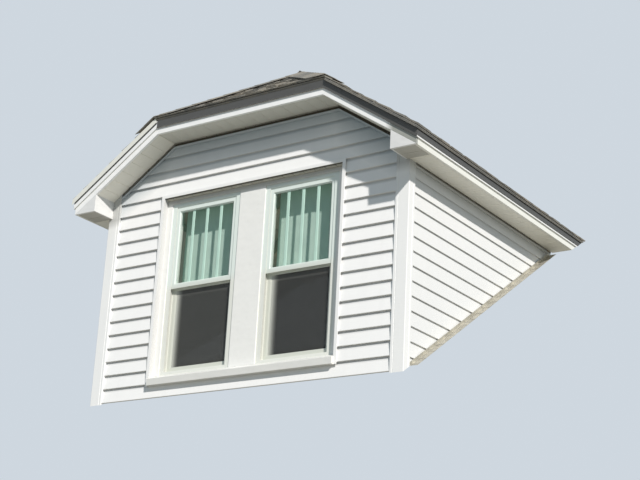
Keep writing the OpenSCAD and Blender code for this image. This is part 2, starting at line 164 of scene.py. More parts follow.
class DormerColours(bpy.types.PropertyGroup):
    """Colours of the finishes."""

    siding: tone("Siding", "White of the front lap siding", (0.95, 0.945, 0.93))
    # The cheeks' white is set darker than the front's as painted shade, evening out the stronger sun on the
    # cheeks
    cheek: tone("Cheek siding", "White of the cheeks' siding, duller from the weather", (0.81, 0.81, 0.795))
    trim: tone("Trim", "White of the fascias, returns and posts", (0.945, 0.945, 0.93))
    casing: tone("Casing", "White of the casing and the mullion cover", (0.915, 0.91, 0.875))
    sash: tone("Sash", "White of the window frames and sashes", (0.80, 0.875, 0.82))
    # Painted light and shade: the rake and eave soffits' cream is raised and warmed for light bounced up from
    # the roof, and the front soffit is the darker copy for its shade
    soffit: tone("Soffit", "Cream white of the rake and eave soffits", (0.90, 0.88, 0.80))
    front_soffit: tone("Front soffit", "Duller white of the front soffit", (0.70, 0.69, 0.63))
    frieze: tone("Frieze", "Bare brown board behind the open joints", (0.075, 0.065, 0.048))
    bars: tone("Bars", "Mint white of the bars between the panes", (0.64, 0.88, 0.76))
    pane: tone("Pane", "Green of the glass", (0.07, 0.22, 0.16))
    screen: tone("Screen", "Charcoal of the insect mesh", (0.025, 0.026, 0.024))
    shade: tone("Shade", "Mint white of the shade cloth", (0.74, 0.97, 0.85))
    shingle_light: tone("Light shingle", "Lightest granules", (0.42, 0.41, 0.37))
    shingle_dark: tone("Dark shingle", "Darkest granules", (0.165, 0.160, 0.148))
    drip: tone("Drip edge", "Dark grey of the metal drip edge", (0.085, 0.085, 0.082))
    rake_edge: tone("Rake edge", "Pale metal along the left rake", (0.83, 0.825, 0.76))
    # The eave fascias' white is set darker than the front's as painted shade, against the stronger sun on
    # their sides
    eave_fascia_shaded_white: tone("Eave trim", "Weathered white of the eave fascias", (0.86, 0.855, 0.79))
    sill: tone("Sill", "Weathered white of the sill", (0.765, 0.76, 0.725))
    flashing: tone("Flashing", "Dull metal of the flashings", (0.66, 0.63, 0.54))
    wood: tone("Framing", "Bare framing timber, dull with age", (0.42, 0.32, 0.215))
    boards: tone("Roof boards", "Roof boards seen from inside", (0.40, 0.34, 0.26))
    lining: tone("Lining", "Pale painted lining boards of the walls", (0.66, 0.64, 0.57))


class DormerStage(bpy.types.PropertyGroup):
    """Camera, lights and floor."""

    eye: FloatVectorProperty(name="Eye", description="Place of the camera", size=3, subtype="TRANSLATION",
                             unit="LENGTH", default=(5.97436, -7.63996, -2.28871))
    zoom: FloatProperty(name="Zoom", description="Enlargement over the wide view", default=2.95, min=0.5)
    sun: FloatProperty(name="Sun", description="Strength of the sun lamp", default=4.05, min=0.0)
    fill: FloatProperty(name="Fill", description="Strength of the soft light", default=0.33, min=0.0)
    floor_drop: length("Floor drop", "Depth of the floor under the part's origin", 3.85)
    floor: tone("Floor", "Colour of the floor", (0.46, 0.47, 0.48))
    backdrop: tone("Backdrop", "Colour behind the dormer", (0.62, 0.68, 0.74))


# Node trees


class Value:
    """A socket on its way through a node tree, written as maths."""

    def __init__(self, nodes, socket):
        self.nodes, self.socket = nodes, socket

    def maths(self, operation, *others):
        return self.nodes.maths(operation, self, *others)

    def __add__(self, other):
        return self.maths("ADD", other)

    def __sub__(self, other):
        return self.maths("SUBTRACT", other)

    def __rsub__(self, other):
        return self.nodes.maths("SUBTRACT", other, self)

    def __mul__(self, other):
        return self.maths("MULTIPLY", other)

    def __truediv__(self, other):
        return self.maths("DIVIDE", other)

    def __rtruediv__(self, other):
        return self.nodes.maths("DIVIDE", other, self)

    def __abs__(self):
        return self.maths("ABSOLUTE")

    __radd__ = __add__
    __rmul__ = __mul__

    def out(self, name):
        """Another output of the same node."""
        return Value(self.nodes, self.socket.node.outputs[name])


class Nodes:
    """Builds one node tree, of a material, the world or geometry."""

    def __init__(self, tree):
        self.tree = tree
        tree.nodes.clear()

    def add(self, kind, settings=None, inputs=None, output=0):
        """Adds a node: its settings first, then the values or links of its sockets."""
        node = self.tree.nodes.new(kind)
        for name, value in (settings or {}).items():
            setattr(node, name, value)
        for name, value in (inputs or {}).items():
            if isinstance(value, Value):
                self.tree.links.new(value.socket, node.inputs[name])
            else:
                node.inputs[name].default_value = value
        return Value(self, node.outputs[output]) if node.outputs else node

    def maths(self, operation, *terms):
        return self.add("ShaderNodeMath", {"operation": operation}, dict(enumerate(terms)))

    def stretched(self, scale, place=None):
        """A place, or else the object coordinates, scaled along each axis."""
        place = place or self.add("ShaderNodeTexCoord", output=3)
        scale = scale if isinstance(scale, tuple) else (scale,) * 3
        return self.add("ShaderNodeVectorMath", {"operation": "MULTIPLY"}, {0: place, 1: scale})

    def axis(self, name, place=None):
        """One axis of a place, or else of the object coordinates."""
        place = place or self.add("ShaderNodeTexCoord", output=3)
        return self.add("ShaderNodeSeparateXYZ", inputs={0: place}, output="XYZ".index(name))

    def noise(self, scale, detail=2.0, place=None):
        """Soft noise, from 0 to 1, at one scale or one along each axis."""
        return self.add("ShaderNodeTexNoise", inputs={
            "Vector": self.stretched(scale, place), "Scale": 1.0, "Detail": detail, "Roughness": 0.55})

    def ramp(self, value, low, high, to_low=0.0, to_high=1.0):
        """A value stretched between two limits and held there."""
        return self.add("ShaderNodeMapRange", inputs={0: value, 1: low, 2: high, 3: to_low, 4: to_high})

    def mix(self, factor, first, second):
        """Two colours mixed."""
        first, second = (part if isinstance(part, Value) else (*part, 1.0) for part in (first, second))
        return self.add("ShaderNodeMix", {"data_type": "RGBA"}, {0: factor, 6: first, 7: second}, output=2)

    def bump(self, height, distance, strength, under=None):
        """A bump of a height, in metres, over another one if there is one."""
        inputs = {"Strength": strength, "Distance": distance, "Height": height}
        if under is not None:
            inputs["Normal"] = under
        return self.add("ShaderNodeBump", inputs=inputs)

    def named(self, attribute):
        """A number stored on the mesh."""
        return self.add("ShaderNodeAttribute", {"attribute_name": attribute}, output=2)


def finish(build):
    """Makes a material once, under a name, with the Principled sockets that build(nodes, ...) gives."""

    def made(name=build.__name__, *details, **more):
        material = bpy.data.materials.get(name)
        if not material:
            material = bpy.data.materials.new(name)
            material.use_nodes = True
            nodes = Nodes(material.node_tree)
            sockets = {key: (*value, 1.0) if isinstance(value, tuple) and len(value) == 3 else value
                       for key, value in build(nodes, *details, **more).items()}
            shader = nodes.add("ShaderNodeBsdfPrincipled", inputs=sockets)
            nodes.add("ShaderNodeOutputMaterial", inputs={0: shader})
        return material

    return made


def colour_of(key):
    """One of the finishes' colours."""
    return tuple(getattr(bpy.context.scene.dormer_colours, key))


def shade_of(colour, factor):
    """A colour made darker or lighter."""
    return tuple(min(1.0, part * factor) for part in colour)


# Stains and painted shade


def painted_soffit_shade(n, colour):
    """Painted shade on the front's siding: a cold blue-grey, darkest close under the front and rake soffits.
    """
    height = n.axis("Z") + n.noise(5) * 0.03
    level = (CLIP_SOFFIT + FOOT.z + 0.015) - height
    slope = ((SOFFIT + RISE * EAVE + FOOT.z + 0.015) - abs(n.axis("X")) * RISE - height) * 1.1
    slope = slope - n.ramp(n.axis("X"), 0.3, 1.0, 0.0, 0.07)
    return n.mix(n.ramp(level.maths("MINIMUM", slope), 0.0, 0.27, 0.86, 0.0), colour, (0.33, 0.40, 0.45))


def painted_lap_shadow(n, colour):
    """Painted shadow close under each butt, across the top of each course."""
    sizes = bpy.context.scene.dormer_sizes
    part = ((n.axis("Z") - (sizes.first_butt + FOOT.z)) / sizes.course).maths("FRACT")
    return n.mix(n.ramp(part, 0.74, 0.88) * 0.45, colour, (0.33, 0.34, 0.34))


def eave_grime_and_painted_shade(n, colour):
    """Grey grime and painted shade close under the eave soffits."""
    height = n.axis("Z") + n.noise(6) * 0.02
    top = SOFFIT + FOOT.z
    return n.mix(n.ramp(height, top - 0.075, top - 0.005) * 0.55, colour, (0.20, 0.21, 0.19))


def painted_head_shade(n, colour):
    """Painted shade close under the windows' head, where the recess shades it."""
    height = n.axis("Z") + n.noise(9) * 0.010
    top = OPENING_TOP + FOOT.z
    return n.mix(n.ramp(height, top - 0.045, top - 0.012) * 0.60, colour, (0.30, 0.295, 0.27))


def cheek_face_painted_shade(n, colour):
    """The posts' faces on the cheeks, given the cheeks' darker white as painted shade."""
    aside = n.ramp(abs(n.axis("X")), HALF - 0.0024, HALF - 0.0002)
    return n.mix(aside, colour, shade_of(colour_of("cheek"), 1.08))


def darker_lower_end(n, colour):
    """The lower end of the right rake's fascia, darker and olive."""
    across = n.axis("X") + n.noise(14) * 0.03
    return n.mix(n.ramp(across, 1.262, 1.322) * 0.80, colour, (0.19, 0.20, 0.165))


# Finishes


@finish
def vinyl_siding(n, white, *darkenings):
    """White vinyl with a pressed wood grain, faint weather marks and chalking, and the stains and painted
    shade passed to it.
    """
    grain, streaks, patches = n.noise((7, 7, 210), 4.0), n.noise((22, 22, 1.6), 3.0), n.noise(1.7)
    dust = n.ramp(streaks * 0.55 + patches * 0.45, 0.42, 0.72)
    colour = n.mix(dust * 0.4, white, shade_of(white, 0.92))
    for darkening in darkenings:
        colour = darkening(n, colour)
    return {"Base Color": colour, "Roughness": 0.42 + 0.2 * patches, "IOR": 1.45,
            "Normal": n.bump(grain, 0.0011, 0.35, n.bump(patches, 0.02, 0.12))}


@finish
def frieze_board(n):
    """Bare board behind the siding's top edge, brown and dusty."""
    brown, dust = colour_of("frieze"), n.noise((6, 6, 70), 4.0)
    return {"Base Color": n.mix(dust, brown, shade_of(brown, 1.7)), "Roughness": 0.9,
            "Normal": n.bump(dust, 0.002, 0.5)}


@finish
def coated_metal(n, white, gloss, ripple=0.35, darkening=None):
    """Thin coated aluminium bent over a board: faint dents, a fine orange peel, and the darkening passed to
    it (painted shade under the windows' head on the casing, the darker lower end of the right rake's fascia).
    """
    marks = n.ramp(n.noise(30, 4.0), 0.52, 0.80)
    colour = n.mix(marks * 0.35, white, shade_of(white, 0.88))
    dents = n.bump(n.noise((5, 5, 9)), 0.012, ripple)
    return {"Base Color": darkening(n, colour) if darkening else colour, "Roughness": gloss + 0.14 * marks,
            "IOR": 1.48, "Normal": n.bump(n.noise(420, 1.0), 0.0002, 0.25, dents)}


@finish
def smooth_vinyl(n, white, behind_screen=None, sunward_faces=None):
    """Smooth window profile with dust in its corners, duller beside the screens, and with painted shade on
    its faces that look towards the sun.
    """
    soft = n.noise(9, 3.0)
    dust = n.ramp(n.noise((55, 55, 20), 4.0), 0.55, 0.85)
    colour = white
    if behind_screen:
        rail = SCREEN_TOP + FOOT.z
        below = n.ramp(n.axis("Z") + dust * 0.02, rail + 0.020, rail - 0.050)
        colour = n.mix(below, white, behind_screen)
    # Painted shade on the faces that look towards the sun
    if sunward_faces:
        colour = n.mix(n.named("sunward_face"), colour, sunward_faces)
    return {"Base Color": painted_head_shade(n, n.mix(dust * 0.25, colour, shade_of(white, 0.80))),
            "Roughness": 0.26 + 0.16 * soft, "Coat Weight": 0.15, "IOR": 1.5,
            "Normal": n.bump(soft, 0.004, 0.1)}


def sash_vinyl():
    """White vinyl of the sashes and the screens' frames."""
    return smooth_vinyl("sash_vinyl", colour_of("sash"), (0.665, 0.68, 0.61))


def frame_vinyl():
    """White vinyl of the window frames, less dulled, with painted shade on the faces towards the sun."""
    return smooth_vinyl("frame_vinyl", colour_of("sash"), (0.80, 0.81, 0.745), (0.53, 0.535, 0.49))


@finish
def window_pane(n):
    """Green cast glass, a little dusty."""
    dust = n.ramp(n.noise((14, 14, 9), 4.0), 0.35, 0.9)
    return {"Base Color": colour_of("pane"), "Roughness": 0.03 + 0.05 * dust, "IOR": 1.5,
            "Alpha": 0.05 + 0.04 * dust}


def woven(spacing, *places):
    """The waves of threads across some places, at a spacing in metres."""
    return ((place * (2 * math.pi / spacing)).maths("SINE") for place in places)


@finish
def insect_mesh(n):
    """Charcoal woven mesh, about 1.4 mm between threads, with painted light: a painted reflection over the
    left window, a lighter band along the top against the rail's cast shadow, and a pale band at each left
    edge for the lit stile seen behind.
    """
    dark, slack = colour_of("screen"), n.noise(6)
    across, up = woven(0.0014, n.axis("X"), n.axis("Z"))
    wire = across * 0.5 + up * 0.5
    colour = n.mix(slack, shade_of(dark, 0.85), shade_of(dark, 1.3))
    # Painted reflection: the left window's mesh is lighter
    colour = n.mix(n.ramp(n.axis("X"), 0.1, -0.1) * 0.5, colour, shade_of(dark, 2.4))
    # Painted light along the top, lifting the shadow that the upper sash's rail casts
    top = SCREEN_OPENING[1] + FOOT.z
    colour = n.mix(n.ramp(n.axis("Z"), top - 0.052, top - 0.030), colour, (0.085, 0.086, 0.08))
    # Painted light at each left edge: the lit white stile seen through the mesh
    from_stile = ((n.axis("X") + (WINDOW + GLASS_HALF)) / (2 * WINDOW)).maths("FRACT") * (2 * WINDOW)
    edge = n.ramp(from_stile, 0.010, 0.064, 1.0, 0.0)
    return {"Base Color": n.mix(edge * edge, colour, (0.56, 0.57, 0.52)), "Roughness": 0.6,
            "Alpha": n.ramp(wire, -0.3, 0.5, 0.80, 0.97),
            "Normal": n.bump(wire, 0.0004, 0.3, n.bump(slack, 0.01, 0.2))}


@finish
def blind_cloth(n):
    """Plain woven blind cloth, read from its own UV map in metres."""
    mint, uv = colour_of("shade"), n.add("ShaderNodeTexCoord", output=2)
    warp, weft = woven(0.0016, n.axis("X", uv), n.axis("Y", uv))
    slub, painted_fold_shade = n.noise((60, 900, 1), 2.0, uv), n.noise((7, 0.5, 1), 2.0, uv)
    # Painted shade of soft vertical folds: darker stripes down the cloth
    colour = n.mix(n.ramp(painted_fold_shade, 0.3, 0.7), shade_of(mint, 0.86), mint)
    return {"Base Color": n.mix(slub * 0.3, colour, shade_of(mint, 0.8)), "Roughness": 0.85,
            "Sheen Weight": 0.15, "Normal": n.bump(warp * weft + slub * 0.6, 0.0003, 0.4)}


@finish
def mineral_shingle(n):
    """Granules on asphalt in mottled grey and brown, each tab its own tint."""
    tint, blots = n.named("tint"), n.noise(9, 3.0)
    grains = n.add("ShaderNodeTexVoronoi", inputs={"Vector": n.stretched(520), "Scale": 1.0}, output=1)
    grain = n.add("ShaderNodeSeparateColor", inputs={0: grains})
    level = tint * 0.42 + grain * 0.30 + blots * 0.28
    base = n.mix(n.ramp(level, 0.22, 0.78), colour_of("shingle_dark"), colour_of("shingle_light"))
    brown = n.mix(n.ramp(blots + tint * 0.3, 0.45, 0.95), base, (0.34, 0.295, 0.23))
    aged = n.mix(n.ramp(n.noise(1.3, 3.0), 0.35, 0.75) * 0.45, brown, (0.30, 0.305, 0.29))
    return {"Base Color": n.mix(0.55, brown, aged), "Roughness": 0.88 + 0.1 * grain,
            "Normal": n.bump(grain, 0.0016, 0.75, n.bump(blots, 0.006, 0.35))}


@finish
def timber(n, colour, along, board=0.0, across="X"):
    """Bare softwood with its grain along one axis, and joints between boards where it has them."""
    rings, fibre = (n.noise(tuple(slow if axis == along else fast for axis in "XYZ"), detail)
                    for slow, fast, detail in ((2.2, 46, 5.0), (5.0, 320, 3.0)))
    figure = n.ramp(abs((rings * 7.0).maths("FRACT") * 2.0 - 1.0), 0.1, 0.95)
    darkening = n.ramp(n.noise(1.8, 3.0), 0.45, 0.8)
    base = n.mix(figure * 0.45, colour, shade_of(colour, 0.62))
    base = n.mix(fibre * 0.35, base, shade_of(colour, 1.18))
    base = n.mix(darkening * 0.35, base, shade_of(colour, 0.55))
    height = fibre * 0.5 + figure * 0.3
    if board:
        count = n.axis(across) / board
        joint = n.ramp(abs(count.maths("FRACT") - 0.5), 0.47, 0.497)
        tint = n.add("ShaderNodeTexWhiteNoise", {"noise_dimensions": "1D"}, {"W": count.maths("FLOOR")})
        base = n.mix(tint * 0.3, base, shade_of(colour, 0.7))
        base = n.mix(joint * 0.85, base, shade_of(colour, 0.12))
        height = height - joint * 4.0
    return {"Base Color": base, "Roughness": 0.62 + 0.2 * fibre, "Normal": n.bump(height, 0.0012, 0.6)}


@finish
def bent_metal(n, colour):
    """Dull sheet metal with a grain from the rolls, oxide blooms and scuffs."""
    bloom = n.noise(16, 4.0)
    return {"Base Color": n.mix(n.ramp(bloom, 0.35, 0.75), shade_of(colour, 0.72), colour),
            "Metallic": 0.75, "Roughness": 0.38 + 0.3 * bloom,
            "Normal": n.bump(n.noise((3, 260, 260)), 0.0003, 0.3, n.bump(bloom, 0.004, 0.15))}


@finish
def pale_floor(n, colour):
    """The floor: pale to the camera, and warmer and darker to the light that it throws back."""
    seen = n.add("ShaderNodeLightPath").out("Is Camera Ray")
    pale = n.mix(n.noise(0.7) * 0.15, colour, shade_of(colour, 0.93))
    return {"Base Color": n.mix(seen, (0.34, 0.32, 0.27), pale), "Roughness": 0.9}


# Shapes


def skinned(rings, closed=False):
    """A solid through matching rings of points, closed on itself or by a face at each end."""
    bm = bmesh.new()
    rings = [[bm.verts.new(point) for point in ring] for ring in rings]
    if not closed:
        bm.faces.new(rings[0])
        bm.faces.new(rings[-1])
    for first, second in zip(rings, rings[1:] + rings[:1] if closed else rings[1:]):
        for i in range(len(first)):
            j = (i + 1) % len(first)
            bm.faces.new((first[i], first[j], second[j], second[i]))
    bmesh.ops.recalc_face_normals(bm, faces=bm.faces)
    return bm


def prism(outline, axis, start, end):
    """A closed prism along one axis, from its outline in the two other axes."""
    place = "XYZ".index(axis)
    return skinned([[(*point[:place], along, *point[place:]) for point in outline] for along in (start, end)])


def block(low, high):
    """A block between two corners."""
    return prism([(low[0], low[1]), (high[0], low[1]), high[:2], (low[0], high[1])], "Z", low[2], high[2])


def frame_of(outer, inner, start, end):
    """A rectangular frame in X and Z, mitred, along Y. Rectangles are x0, z0, x1, z1."""
    return skinned([[(box[i], y, box[j]) for i, j in ((0, 1), (2, 1), (2, 3), (0, 3))]
                    for box, y in ((outer, start), (inner, start), (inner, end), (outer, end))], closed=True)


def cut(bm, point, away):
    """Takes off what lies beyond a plane, on the side that away points to, and closes the cut."""
    bmesh.ops.bisect_plane(bm, geom=bm.verts[:] + bm.edges[:] + bm.faces[:], dist=1e-6,
                           plane_co=point, plane_no=away, clear_outer=True)
    rim = [edge for edge in bm.edges if edge.is_boundary]
    if rim:
        bmesh.ops.holes_fill(bm, edges=rim, sides=0)
    return bm


def between(bm, axis, low=None, high=None):
    """Keeps what lies between two places along an axis."""
    for place, way in ((low, -1), (high, 1)):
        if place is not None:
            along = Vector([float(name == axis) for name in "XYZ"])
            cut(bm, along * place, along * way)
    return bm


def above_slope(bm, lift=0.0):
    """Keeps what is over the slope that the part is cut on."""
    return cut(bm, (0, 0, lift / COSINE), (0, SINE, -COSINE))


def soften(bm, width, segments=2):
    """Rounds the sharp edges."""
    sharp = [edge for edge in bm.edges if len(edge.link_faces) == 2
             and edge.calc_face_angle(0) > math.radians(20)]
    bmesh.ops.bevel(bm, geom=sharp, offset=width, segments=segments, profile=0.6, affect="EDGES",
                    clamp_overlap=True)
    return bm


def shifted(bm, *way):
    """Moves a mesh."""
    bmesh.ops.translate(bm, vec=way, verts=bm.verts)
    return bm


def joined(*parts):
    """Several solids as one mesh."""
    whole = bmesh.new()
    for part in parts:
        mesh = bpy.data.meshes.new("part")
        part.to_mesh(mesh)
        part.free()
        whole.from_mesh(mesh)
        bpy.data.meshes.remove(mesh)
    return whole


def mirrored(bm):
    """A copy on the other side of the middle."""
    copy = bm.copy()
    bmesh.ops.scale(copy, vec=(-1, 1, 1), verts=copy.verts)
    bmesh.ops.reverse_faces(copy, faces=copy.faces)
    return copy


def both(bm):
    """A mesh with its mirror image."""
    return joined(mirrored(bm), bm)


def from_node(name):
    """A merged copy of a CAD node, from the foot of the wall."""
    bm = bmesh.new()
    bm.from_mesh(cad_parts[name].data)
    bmesh.ops.remove_doubles(bm, verts=bm.verts, dist=1e-5)
    bmesh.ops.dissolve_limit(bm, angle_limit=math.radians(1), verts=bm.verts, edges=bm.edges)
    return shifted(bm, *-FOOT)


def move_level(bm, old, new):
    """Moves the vertices that stand at one height to another."""
    found = [vert for vert in bm.verts if abs(vert.co.z - old) < 1e-4]
    if not found:
        raise RuntimeError(f"no vertex at {old} m")
    for vert in found:
        vert.co.z = new


def piece(name, bm, material, slot, *nodes):
    """Makes the finished object: it rides on the part and stands for its nodes; the slot is not used."""
    mesh = bpy.data.meshes.new(name)
    bm.to_mesh(mesh)
    bm.free()
    mesh.transform(Matrix.Translation(FOOT))
    mesh.materials.clear()
    mesh.materials.append(material)
    if not mesh.polygons:
        raise RuntimeError(f"{name} has no faces")
    obj = bpy.data.objects.new(name, mesh)
    bpy.context.scene.collection.objects.link(obj)
    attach(obj, "root")
    if nodes:
        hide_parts(*nodes)
    return obj


def pair(name, bm, material, slot, node):
    """The same piece on the left, mirrored, and on the right."""
    for side, shape in (("left", mirrored(bm)), ("right", bm)):
        piece(f"{side}_{name}", shape, material, slot, f"{side}_{node}")


def paint(material, *nodes):
    """Gives CAD nodes their material."""
    for name in nodes:
        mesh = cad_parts[name].data
        mesh.materials.clear()
        mesh.materials.append(material)


# Geometry trees


def tree_of(name, **sockets):
    """A geometry tree with a seed piece, named inputs and a result."""
    tree = bpy.data.node_groups.new(name, "GeometryNodeTree")
    for label, kind in {"Piece": "Geometry", **sockets, "Seed": "Int", "Material": "Material"}.items():
        tree.interface.new_socket(label.replace("_", " "), in_out="INPUT", socket_type="NodeSocket" + kind)
    tree.interface.new_socket("Result", in_out="OUTPUT", socket_type="NodeSocketGeometry")
    nodes = Nodes(tree)
    return tree, nodes, nodes.add("NodeGroupInput").out


def finish_tree(n, given, seed, **instances):
    """Puts the piece on points, gives each its tint, makes them real and sets their material."""
    placed = n.add("GeometryNodeInstanceOnPoints", inputs={"Instance": given("Piece"), **instances})
    tint = n.add("FunctionNodeRandomValue", {"data_type": "FLOAT"}, {"Seed": seed}, output=1)
    tinted = n.add("GeometryNodeStoreNamedAttribute", {"data_type": "FLOAT", "domain": "INSTANCE"},
                   {"Geometry": placed, "Name": "tint", "Value": tint})
    real = n.add("GeometryNodeRealizeInstances", inputs={0: tinted})
    dressed = n.add("GeometryNodeSetMaterial", inputs={"Geometry": real, "Material": given("Material")})
    n.add("NodeGroupOutput", inputs={0: dressed})


def row_tree():
    """Repeats a piece along a straight line."""
    tree, n, given = tree_of("row_of_pieces", Count="Int", Step="Vector")
    line = n.add("GeometryNodeMeshLine", {"mode": "OFFSET", "count_mode": "TOTAL"},
                 {"Count": given("Count"), "Offset": given("Step")})
    finish_tree(n, given, given("Seed"), Points=line)
    return tree


def tab_tree():
    """Lays shingle tabs in courses on a flat slope: X along the course, Y up the slope, Z out of it."""
    tree, n, given = tree_of("courses_of_tabs", Courses="Int", Tabs="Int", Exposure="Float",
                             Tab_Width="Float", Shift="Float", Lift="Float")
    seed = given("Seed")

    def chance(low, high, turn, **more):
        return n.add("FunctionNodeRandomValue", {"data_type": "FLOAT"},
                     {2: low, 3: high, "Seed": seed + turn if turn else seed, **more}, output=1)

    line = n.add("GeometryNodeMeshLine", {"mode": "OFFSET", "count_mode": "TOTAL"},
                 {"Count": given("Courses") * given("Tabs")})
    index = n.add("GeometryNodeInputIndex")
    course = (index / given("Tabs")).maths("FLOOR")
    along = index - course * given("Tabs") + chance(0.0, 1.0, 0, ID=course) + chance(-0.28, 0.28, 1)
    where = n.add("ShaderNodeCombineXYZ", inputs={
        0: along * given("Tab Width") - given("Shift"), 1: course * given("Exposure"),
        2: chance(0.0, 1.0, 3) * given("Lift")})
    spots = n.add("GeometryNodeSetPosition", inputs={"Geometry": line, "Position": where})
    size = n.add("ShaderNodeCombineXYZ", inputs={0: chance(0.45, 1.15, 2), 1: 1.0, 2: 1.0})
    finish_tree(n, given, seed + 4, Points=spots, Scale=size)
    return tree


def repeated(make_tree, name, bm, inputs):
    """Runs a geometry tree, made once, on a piece and gives back the plain mesh."""
    tree = bpy.data.node_groups.get(name) or make_tree()
    mesh = bpy.data.meshes.new("seed")
    bm.to_mesh(mesh)
    bm.free()
    obj = bpy.data.objects.new("seed", mesh)
    bpy.context.scene.collection.objects.link(obj)
    modifier = obj.modifiers.new("repeat", "NODES")
    modifier.node_group = tree
    for socket in tree.interface.items_tree:
        if socket.item_type == "SOCKET" and socket.in_out == "INPUT" and socket.name in inputs:
            modifier[socket.identifier] = inputs[socket.name]
    depsgraph = bpy.context.evaluated_depsgraph_get()
    made = bpy.data.meshes.new_from_object(obj.evaluated_get(depsgraph), preserve_all_data_layers=True,
                                           depsgraph=depsgraph)
    obj.modifiers.remove(modifier)
    bpy.data.objects.remove(obj)
    bpy.data.meshes.remove(mesh)
    if not made.polygons:
        raise RuntimeError(f"{name} made nothing")
    whole = bmesh.new()
    whole.from_mesh(made)
    bpy.data.meshes.remove(made)
    return whole


def row(bm, material, count, step, seed=1):
    """A piece repeated along a line."""
    return repeated(row_tree, "row_of_pieces", bm,
                    {"Count": count, "Step": tuple(step), "Seed": seed, "Material": material})


# Siding


def course_outline(rise, butt):
    """One lap board across its length: depth and height, its butt at height 0 with a pocket behind it."""
    face, back, pocket = SIDING_FACE, SIDING_BACK, 0.010
    top = rise + pocket + 0.001
    return [(back, pocket), (face + 0.0050, pocket), (face + 0.0032, 0.0010), (face + 0.0026, 0.0),
            (face + 0.001, 0.0004), (face + 0.0003, 0.0022), (face + 0.0006, 0.006),
            (face + butt, rise), (face + butt, top), (back, top)]


def siding_strips(gap):
    """The channel that holds the siding's top edge, and the board behind the gap: depth and drop."""
    hem, reach, front, back = 0.0015, 0.0140, 0.0165, 0.0198
    return ([(0.0004, gap), (0.0, gap + 0.001), (0.0, gap + 0.007), (hem, gap + 0.009), (hem, gap + 0.014),
             (reach, gap + 0.014), (reach, gap)],
            [(front, -0.0002), (front, gap + 0.010), (back, gap + 0.010), (back, -0.0002)])


class DORMER_OT_front_siding(bpy.types.Operator):
    """Lap siding, frieze strips and window channel of the front."""

    bl_idname = "dormer.front_siding"
    bl_label = "Front siding"

    def execute(self, context):
        sizes = context.scene.dormer_sizes
        course, gap, head = sizes.course, sizes.soffit_gap, OPENING_TOP + sizes.head_gap
        vinyl = vinyl_siding("siding_vinyl", colour_of("siding"), painted_lap_shadow, painted_soffit_shade)
        end, edge = HALF - POST_FRONT - SLACK, OPENING + 0.004
        start, top = sizes.first_butt - course, CLIP_SOFFIT - gap - 0.002
        board = shifted(prism(course_outline(course, sizes.butt), "X", -end, end), 0, 0, start)
        boards = row(board, vinyl, math.ceil((CLIP_SOFFIT - start) / course) + 1, (0, 0, course))
        middle = between(boards.copy(), "X", -edge, edge)
        whole = above_slope(joined(
            between(boards.copy(), "X", high=-edge), between(boards, "X", edge),
            between(middle.copy(), "Z", high=SILL_FOOT), between(middle, "Z", head + 0.004)))
        for side in SIDES:
            cut(whole, (side * CLIP_HALF, 0, top), (side * SINE, 0, COSINE))
        between(whole, "Z", high=top)

        # The trim channel and, behind the gap over it, the dark frieze board
        strips = []
        for strip in siding_strips(gap):
            runs = [prism([(y, CLIP_SOFFIT - z) for y, z in strip], "X", -CLIP_HALF, CLIP_HALF)]
            for side in SIDES:
                runs.append(skinned([[(side * x, y, height - z) for y, z in strip]
                                     for x, height in ((CLIP_HALF, CLIP_SOFFIT), (end, rake(end)))]))
            strips.append(joined(*runs))
        outer, over = OPENING + CHANNEL, head + CHANNEL
        channel = prism([(-outer, SILL_FOOT), (-OPENING, SILL_FOOT), (-OPENING, head), (OPENING, head),
                         (OPENING, SILL_FOOT), (outer, SILL_FOOT), (outer, over), (-outer, over)],
                        "Y", 0.0002, 0.0058)

        # The recess's lining, a darker copy of the cheeks' white as painted shade, and the joint over the
        # windows' head: dark board across the recess's top as painted shade, with the real dark joint behind
        # the head gap
        depth, inner = 0.0449, OPENING - 0.0012
        reveals = both(block((inner, 0.0004, SILL_FOOT), (OPENING + 0.0001, depth, head)))
        joint = joined(block((-inner, 0.0060, head - HIDDEN), (inner, depth, head + HIDDEN)),
                       block((-inner, depth - 0.0004, OPENING_TOP - 0.0001), (inner, depth + 0.0002, head)))
        lining = vinyl_siding("reveal_vinyl", shade_of(colour_of("cheek"), 0.84))
        trim = vinyl_siding("channel_vinyl", colour_of("siding"), painted_soffit_shade)
        dark = frieze_board()
        for name, shape, material, slot in (
                ("opening_reveals", soften(reveals, 0.0003, 1), lining, "white_siding"),
                ("head_shade_and_joint", joint, dark, "framing_wood"),
                ("front_lap_siding", whole, vinyl, "white_siding"),
                ("siding_channels", joined(strips[0], soften(channel, 0.0012)), trim, "white_siding"),
                ("front_frieze", strips[1], dark, "framing_wood")):
            piece(name, shape, material, slot, "front_siding")
        return {"FINISHED"}


